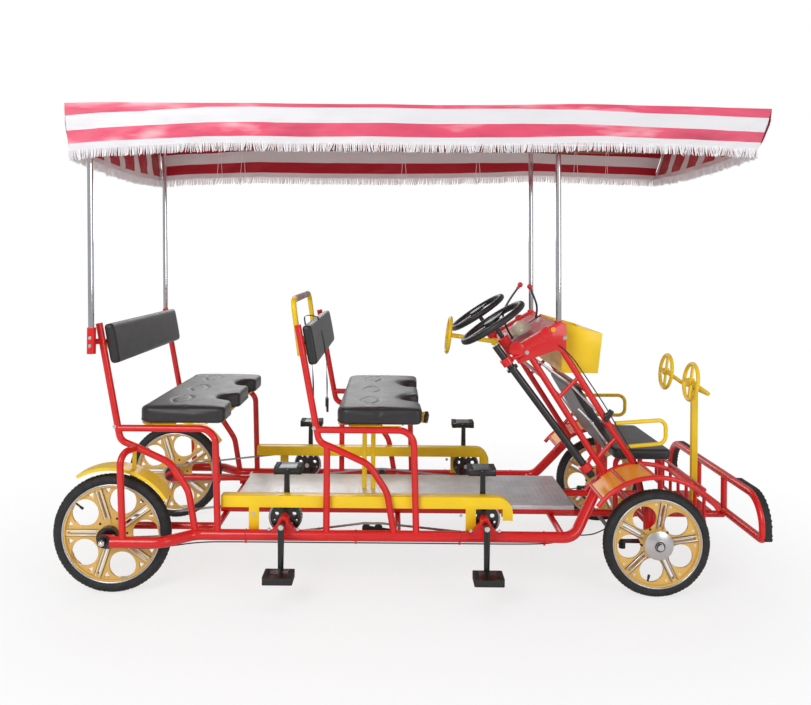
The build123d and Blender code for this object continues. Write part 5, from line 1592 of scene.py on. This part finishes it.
class SURREY_OT_rigging(bpy.types.Operator):
    """Brake cables in their clips, the lever's disc, seat channels and the bumper's tread"""

    bl_idname = "surrey.rigging"
    bl_label = "Rigging and trim"

    def cables(self):
        runs, clips, blocks = [], [], []
        for _name, side in SIDES:
            runs.append(bent_bar([
                (-1.085, side * 0.505, 0.196), (-1.000, side * 0.512, 0.192), (-0.905, side * 0.500, 0.199),
                (-0.800, side * 0.450, 0.199), (-0.640, side * 0.447, 0.199), (-0.200, side * 0.447, 0.199),
                (0.200, side * 0.447, 0.199), (0.500, side * 0.447, 0.199), (0.580, side * 0.440, 0.205),
                (0.640, side * 0.418, 0.226), (0.700, side * 0.360, 0.205), (0.760, side * 0.300, 0.190),
                (0.840, side * 0.262, 0.215), (0.930, side * 0.250, 0.246),
            ], 0.0024, 6))
            runs.append(bent_bar([
                (0.596, side * 0.341, 0.955), (0.640, side * 0.342, 0.925), (0.697, side * 0.343, 0.842),
                (0.755, side * 0.343, 0.757), (0.796, side * 0.343, 0.694), (0.826, side * 0.342, 0.640),
                (0.868, side * 0.340, 0.572), (0.905, side * 0.339, 0.510), (0.930, side * 0.336, 0.430),
                (0.946, side * 0.336, 0.350),
            ], 0.0024, 6))
            for x in (-0.626, -0.202, 0.198, 0.525):
                clips.append(ring((x, side * 0.440, 0.224), (1, 0, 0), 0.0222, 0.0021, 36, 6))
                start, end = (x - 0.004, side * 0.447, 0.199), (x + 0.004, side * 0.447, 0.199)
                clips.append(rod(start, end, 0.0046, 12, 0.0008))
            blocks.append(plate((0.797, side * 0.340, 0.676), (0.020, 0.018, 0.052), 0.004, (0, 0.56, 0), 3))
            blocks.append(rod((0.782, side * 0.336, 0.672), (0.806, side * 0.336, 0.688), 0.0085, 16, 0.001))
        hand_over(runs, "brake_cable_runs", "black_plastic")
        hand_over(clips, "brake_cable_clips", "red_paint")
        hand_over(blocks, "brake_cable_brackets", "black_metal")

    def channel(self, middle, lean, width, depth):
        """A shallow curved channel: the lowest slice of a wide cylinder."""
        radius = (width * width / 4 + depth * depth) / (2 * depth)
        deselect()
        bpy.ops.mesh.primitive_cylinder_add(vertices=160, radius=radius, depth=0.80, rotation=(pi / 2, 0, 0))
        piece = settle(bpy.context.object)
        with edit_mode(piece):
            bpy.ops.mesh.bisect(
                plane_co=(0, 0, depth - radius), plane_no=(0, 0, 1), use_fill=True, clear_outer=True
            )
        piece.location = (0, 0, radius - depth)
        settle(piece)
        piece.rotation_euler = (0, lean, 0)
        piece.location = middle
        return bevelled(settle(piece), 0.0012)

    def channels(self):
        """Shallow curved steel channels under the pads and behind the back pads."""
        under = [self.channel((x, 0, 0.6445), 0, 0.135, 0.024) for x in (-0.9765, -0.1745)]
        way = Vector((-cos(BACK_LEAN), 0, -sin(BACK_LEAN))) * 0.0185
        behind = [
            self.channel((x + way.x, 0, 0.958 + way.z), pi / 2 - BACK_LEAN, 0.092, 0.016)
            for x in (-1.153, -0.386)
        ]
        hand_over(under, "seat_channels", "yellow_paint")
        hand_over(behind, "back_channels", "yellow_paint")

    def tread(self):
        """Raised bars across the front of the bumper's rubber."""
        bars = []
        for _name, side in SIDES:
            stations = [(0.262 + 0.0175 * n, 0.392, 90) for n in range(7)]
            stations += [(0.385 + 0.115 * cos(radians(a)), 0.277 + 0.115 * sin(radians(a)), a)
                         for a in range(81, 0, -9)]
            stations += [(0.500, 0.262, 0), (0.500, 0.247, 0)]
            for y, z, angle in stations:
                deselect()
                bpy.ops.mesh.primitive_cube_add(size=1, location=(0, 0, 0))
                bar = bpy.context.object
                bar.scale = (0.008, 0.0095, 0.030)
                settle(bar)
                bar.rotation_euler = (radians(angle - 90) * side, 0, 0)
                bar.location = (1.3695, side * y, z)
                bars.append(settle(bar))
        piece = bevelled(joined(bars, "bars"), 0.002)
        hand_over(piece, "bumper_tread", "rubber")

    def execute(self, context):
        self.cables()
        self.channels()
        self.tread()
        disc = [
            rod((0.0640, -0.2500, 0.6470), (0.0800, -0.2500, 0.6440), 0.0245, 36, 0.004),
            rod((0.0800, -0.2500, 0.6440), (0.0830, -0.2500, 0.6434), 0.0150, 24, 0.001),
        ]
        hand_over(disc, "lever_disc", "black_plastic")
        return {"FINISHED"}


class SURREY_OT_stage(bpy.types.Operator):
    """Floor, light and camera at the photograph's viewing angle"""

    bl_idname = "surrey.stage"
    bl_label = "Stage"

    def floor(self):
        """A white floor that fades into the backdrop away from the vehicle."""
        deselect()
        bpy.ops.mesh.primitive_plane_add(size=60, location=(0, 0, 0))
        floor = settle(bpy.context.object, "floor")
        finish, tree, shader, place = new_finish("floor_finish")
        shader.inputs["Base Color"].default_value = (0.93, 0.93, 0.93, 1)
        shader.inputs["Roughness"].default_value = 0.9
        relief(tree, shader, grain(tree, place, 40.0), 0.02, 0.001)
        glow = tree.nodes.new("ShaderNodeEmission")
        glow.inputs["Color"].default_value = (1, 1, 1, 1)
        path = tree.nodes.new("ShaderNodeLightPath")
        reach = tree.nodes.new("ShaderNodeVectorMath")
        reach.operation = "LENGTH"
        tree.links.new(place, reach.inputs[0])
        far = tree.nodes.new("ShaderNodeMapRange")
        for label, value in (("From Min", 1.3), ("From Max", 2.4), ("To Min", 0.72), ("To Max", 1.0)):
            far.inputs[label].default_value = value
        tree.links.new(reach.outputs["Value"], far.inputs["Value"])
        share = sums(tree, "MULTIPLY", path.outputs["Is Camera Ray"], far.outputs["Result"])
        mix_shaders(tree, share, shader.outputs["BSDF"], glow.outputs["Emission"], "Material Output")
        floor.data.materials.append(finish)

    def sky(self, scene):
        """A soft surround that the camera sees as plain white."""
        world = bpy.data.worlds.new("studio")
        scene.world = world
        world.use_nodes = True
        tree = world.node_tree
        back = tree.nodes["Background"]
        back.inputs["Color"].default_value = (0.95, 0.97, 1.0, 1)
        back.inputs["Strength"].default_value = 0.42
        white = tree.nodes.new("ShaderNodeBackground")
        white.inputs["Color"].default_value = (1, 1, 1, 1)
        white.inputs["Strength"].default_value = 1.0
        path = tree.nodes.new("ShaderNodeLightPath")
        seen = sums(tree, "MAXIMUM", path.outputs["Is Camera Ray"], path.outputs["Is Transmission Ray"])
        mix_shaders(tree, seen, back.outputs["Background"], white.outputs["Background"], "World Output")

    def lamps(self):
        """Four soft lamps, each with its place, its aim, its size and its power."""
        for name, place, aim, size, power in (
            ("key", (-2.4, -4.4, 3.4), (0, 0, 0.8), 2.2, 135),
            ("fill", (3.4, -4.2, 2.0), (0, 0, 0.7), 2.0, 55),
            ("top", (0.2, 0.4, 5.2), (0, 0, 0.8), 3.0, 90),
            ("rim", (-1.0, 4.6, 2.6), (0, 0, 0.9), 2.4, 50),
        ):
            deselect()
            bpy.ops.object.light_add(type="AREA", location=place)
            lamp = bpy.context.object
            lamp.name = f"lamp_{name}"
            lamp.data.size = size
            lamp.data.energy = power
            lamp.rotation_euler = (Vector(aim) - Vector(place)).to_track_quat("-Z", "Y").to_euler()

    def camera(self, scene):
        """The photograph's camera."""
        deselect()
        bpy.ops.object.camera_add(location=(-0.060, -3.488, 1.302), rotation=(pi / 2, -0.0087, 0))
        camera = bpy.context.object
        camera.name = "camera"
        camera.data.lens = 35.02
        camera.data.sensor_width = 36.0
        camera.data.shift_x = 0.0129
        camera.data.shift_y = -0.1178
        camera.data.clip_start = 0.05
        camera.data.clip_end = 100
        scene.camera = camera

    def execute(self, context):
        self.floor()
        self.sky(context.scene)
        self.lamps()
        self.camera(context.scene)
        context.scene.view_settings.view_transform = "Standard"
        return {"FINISHED"}


class SURREY_PT_panel(bpy.types.Panel):
    """Lists the steps that build the surrey"""

    bl_idname = "SURREY_PT_panel"
    bl_label = "Surrey"
    bl_space_type = "VIEW_3D"
    bl_region_type = "UI"
    bl_category = "Surrey"

    def draw(self, context):
        for settings in (context.scene.surrey_cloth, context.scene.surrey_paint, context.scene.surrey_seat):
            box = self.layout.box()
            for name in settings.__annotations__:
                box.prop(settings, name)
        for step in STEPS:
            self.layout.operator(step.bl_idname)


GROUPS = (("surrey_cloth", SurreyCloth), ("surrey_paint", SurreyPaint), ("surrey_seat", SurreySeat))
STEPS = (
    SURREY_OT_frame_finish,
    SURREY_OT_wheels,
    SURREY_OT_canopy,
    SURREY_OT_seats,
    SURREY_OT_chains,
    SURREY_OT_cranks,
    SURREY_OT_small_parts,
    SURREY_OT_dash_fittings,
    SURREY_OT_rigging,
    SURREY_OT_stage,
)


def register():
    for name, group in GROUPS:
        bpy.utils.register_class(group)
        setattr(bpy.types.Scene, name, bpy.props.PointerProperty(type=group))
    for step in STEPS:
        bpy.utils.register_class(step)
    bpy.utils.register_class(SURREY_PT_panel)


def unregister():
    bpy.utils.unregister_class(SURREY_PT_panel)
    for step in reversed(STEPS):
        bpy.utils.unregister_class(step)
    for name, group in reversed(GROUPS):
        delattr(bpy.types.Scene, name)
        bpy.utils.unregister_class(group)


def main():
    register()
    bpy.ops.surrey.stage()
    bpy.ops.surrey.frame_finish()
    bpy.ops.surrey.wheels()
    bpy.ops.surrey.canopy()
    bpy.ops.surrey.seats()
    bpy.ops.surrey.chains()
    bpy.ops.surrey.cranks()
    bpy.ops.surrey.small_parts()
    bpy.ops.surrey.dash_fittings()
    bpy.ops.surrey.rigging()
    deselect()


if __name__ == "__main__":
    main()
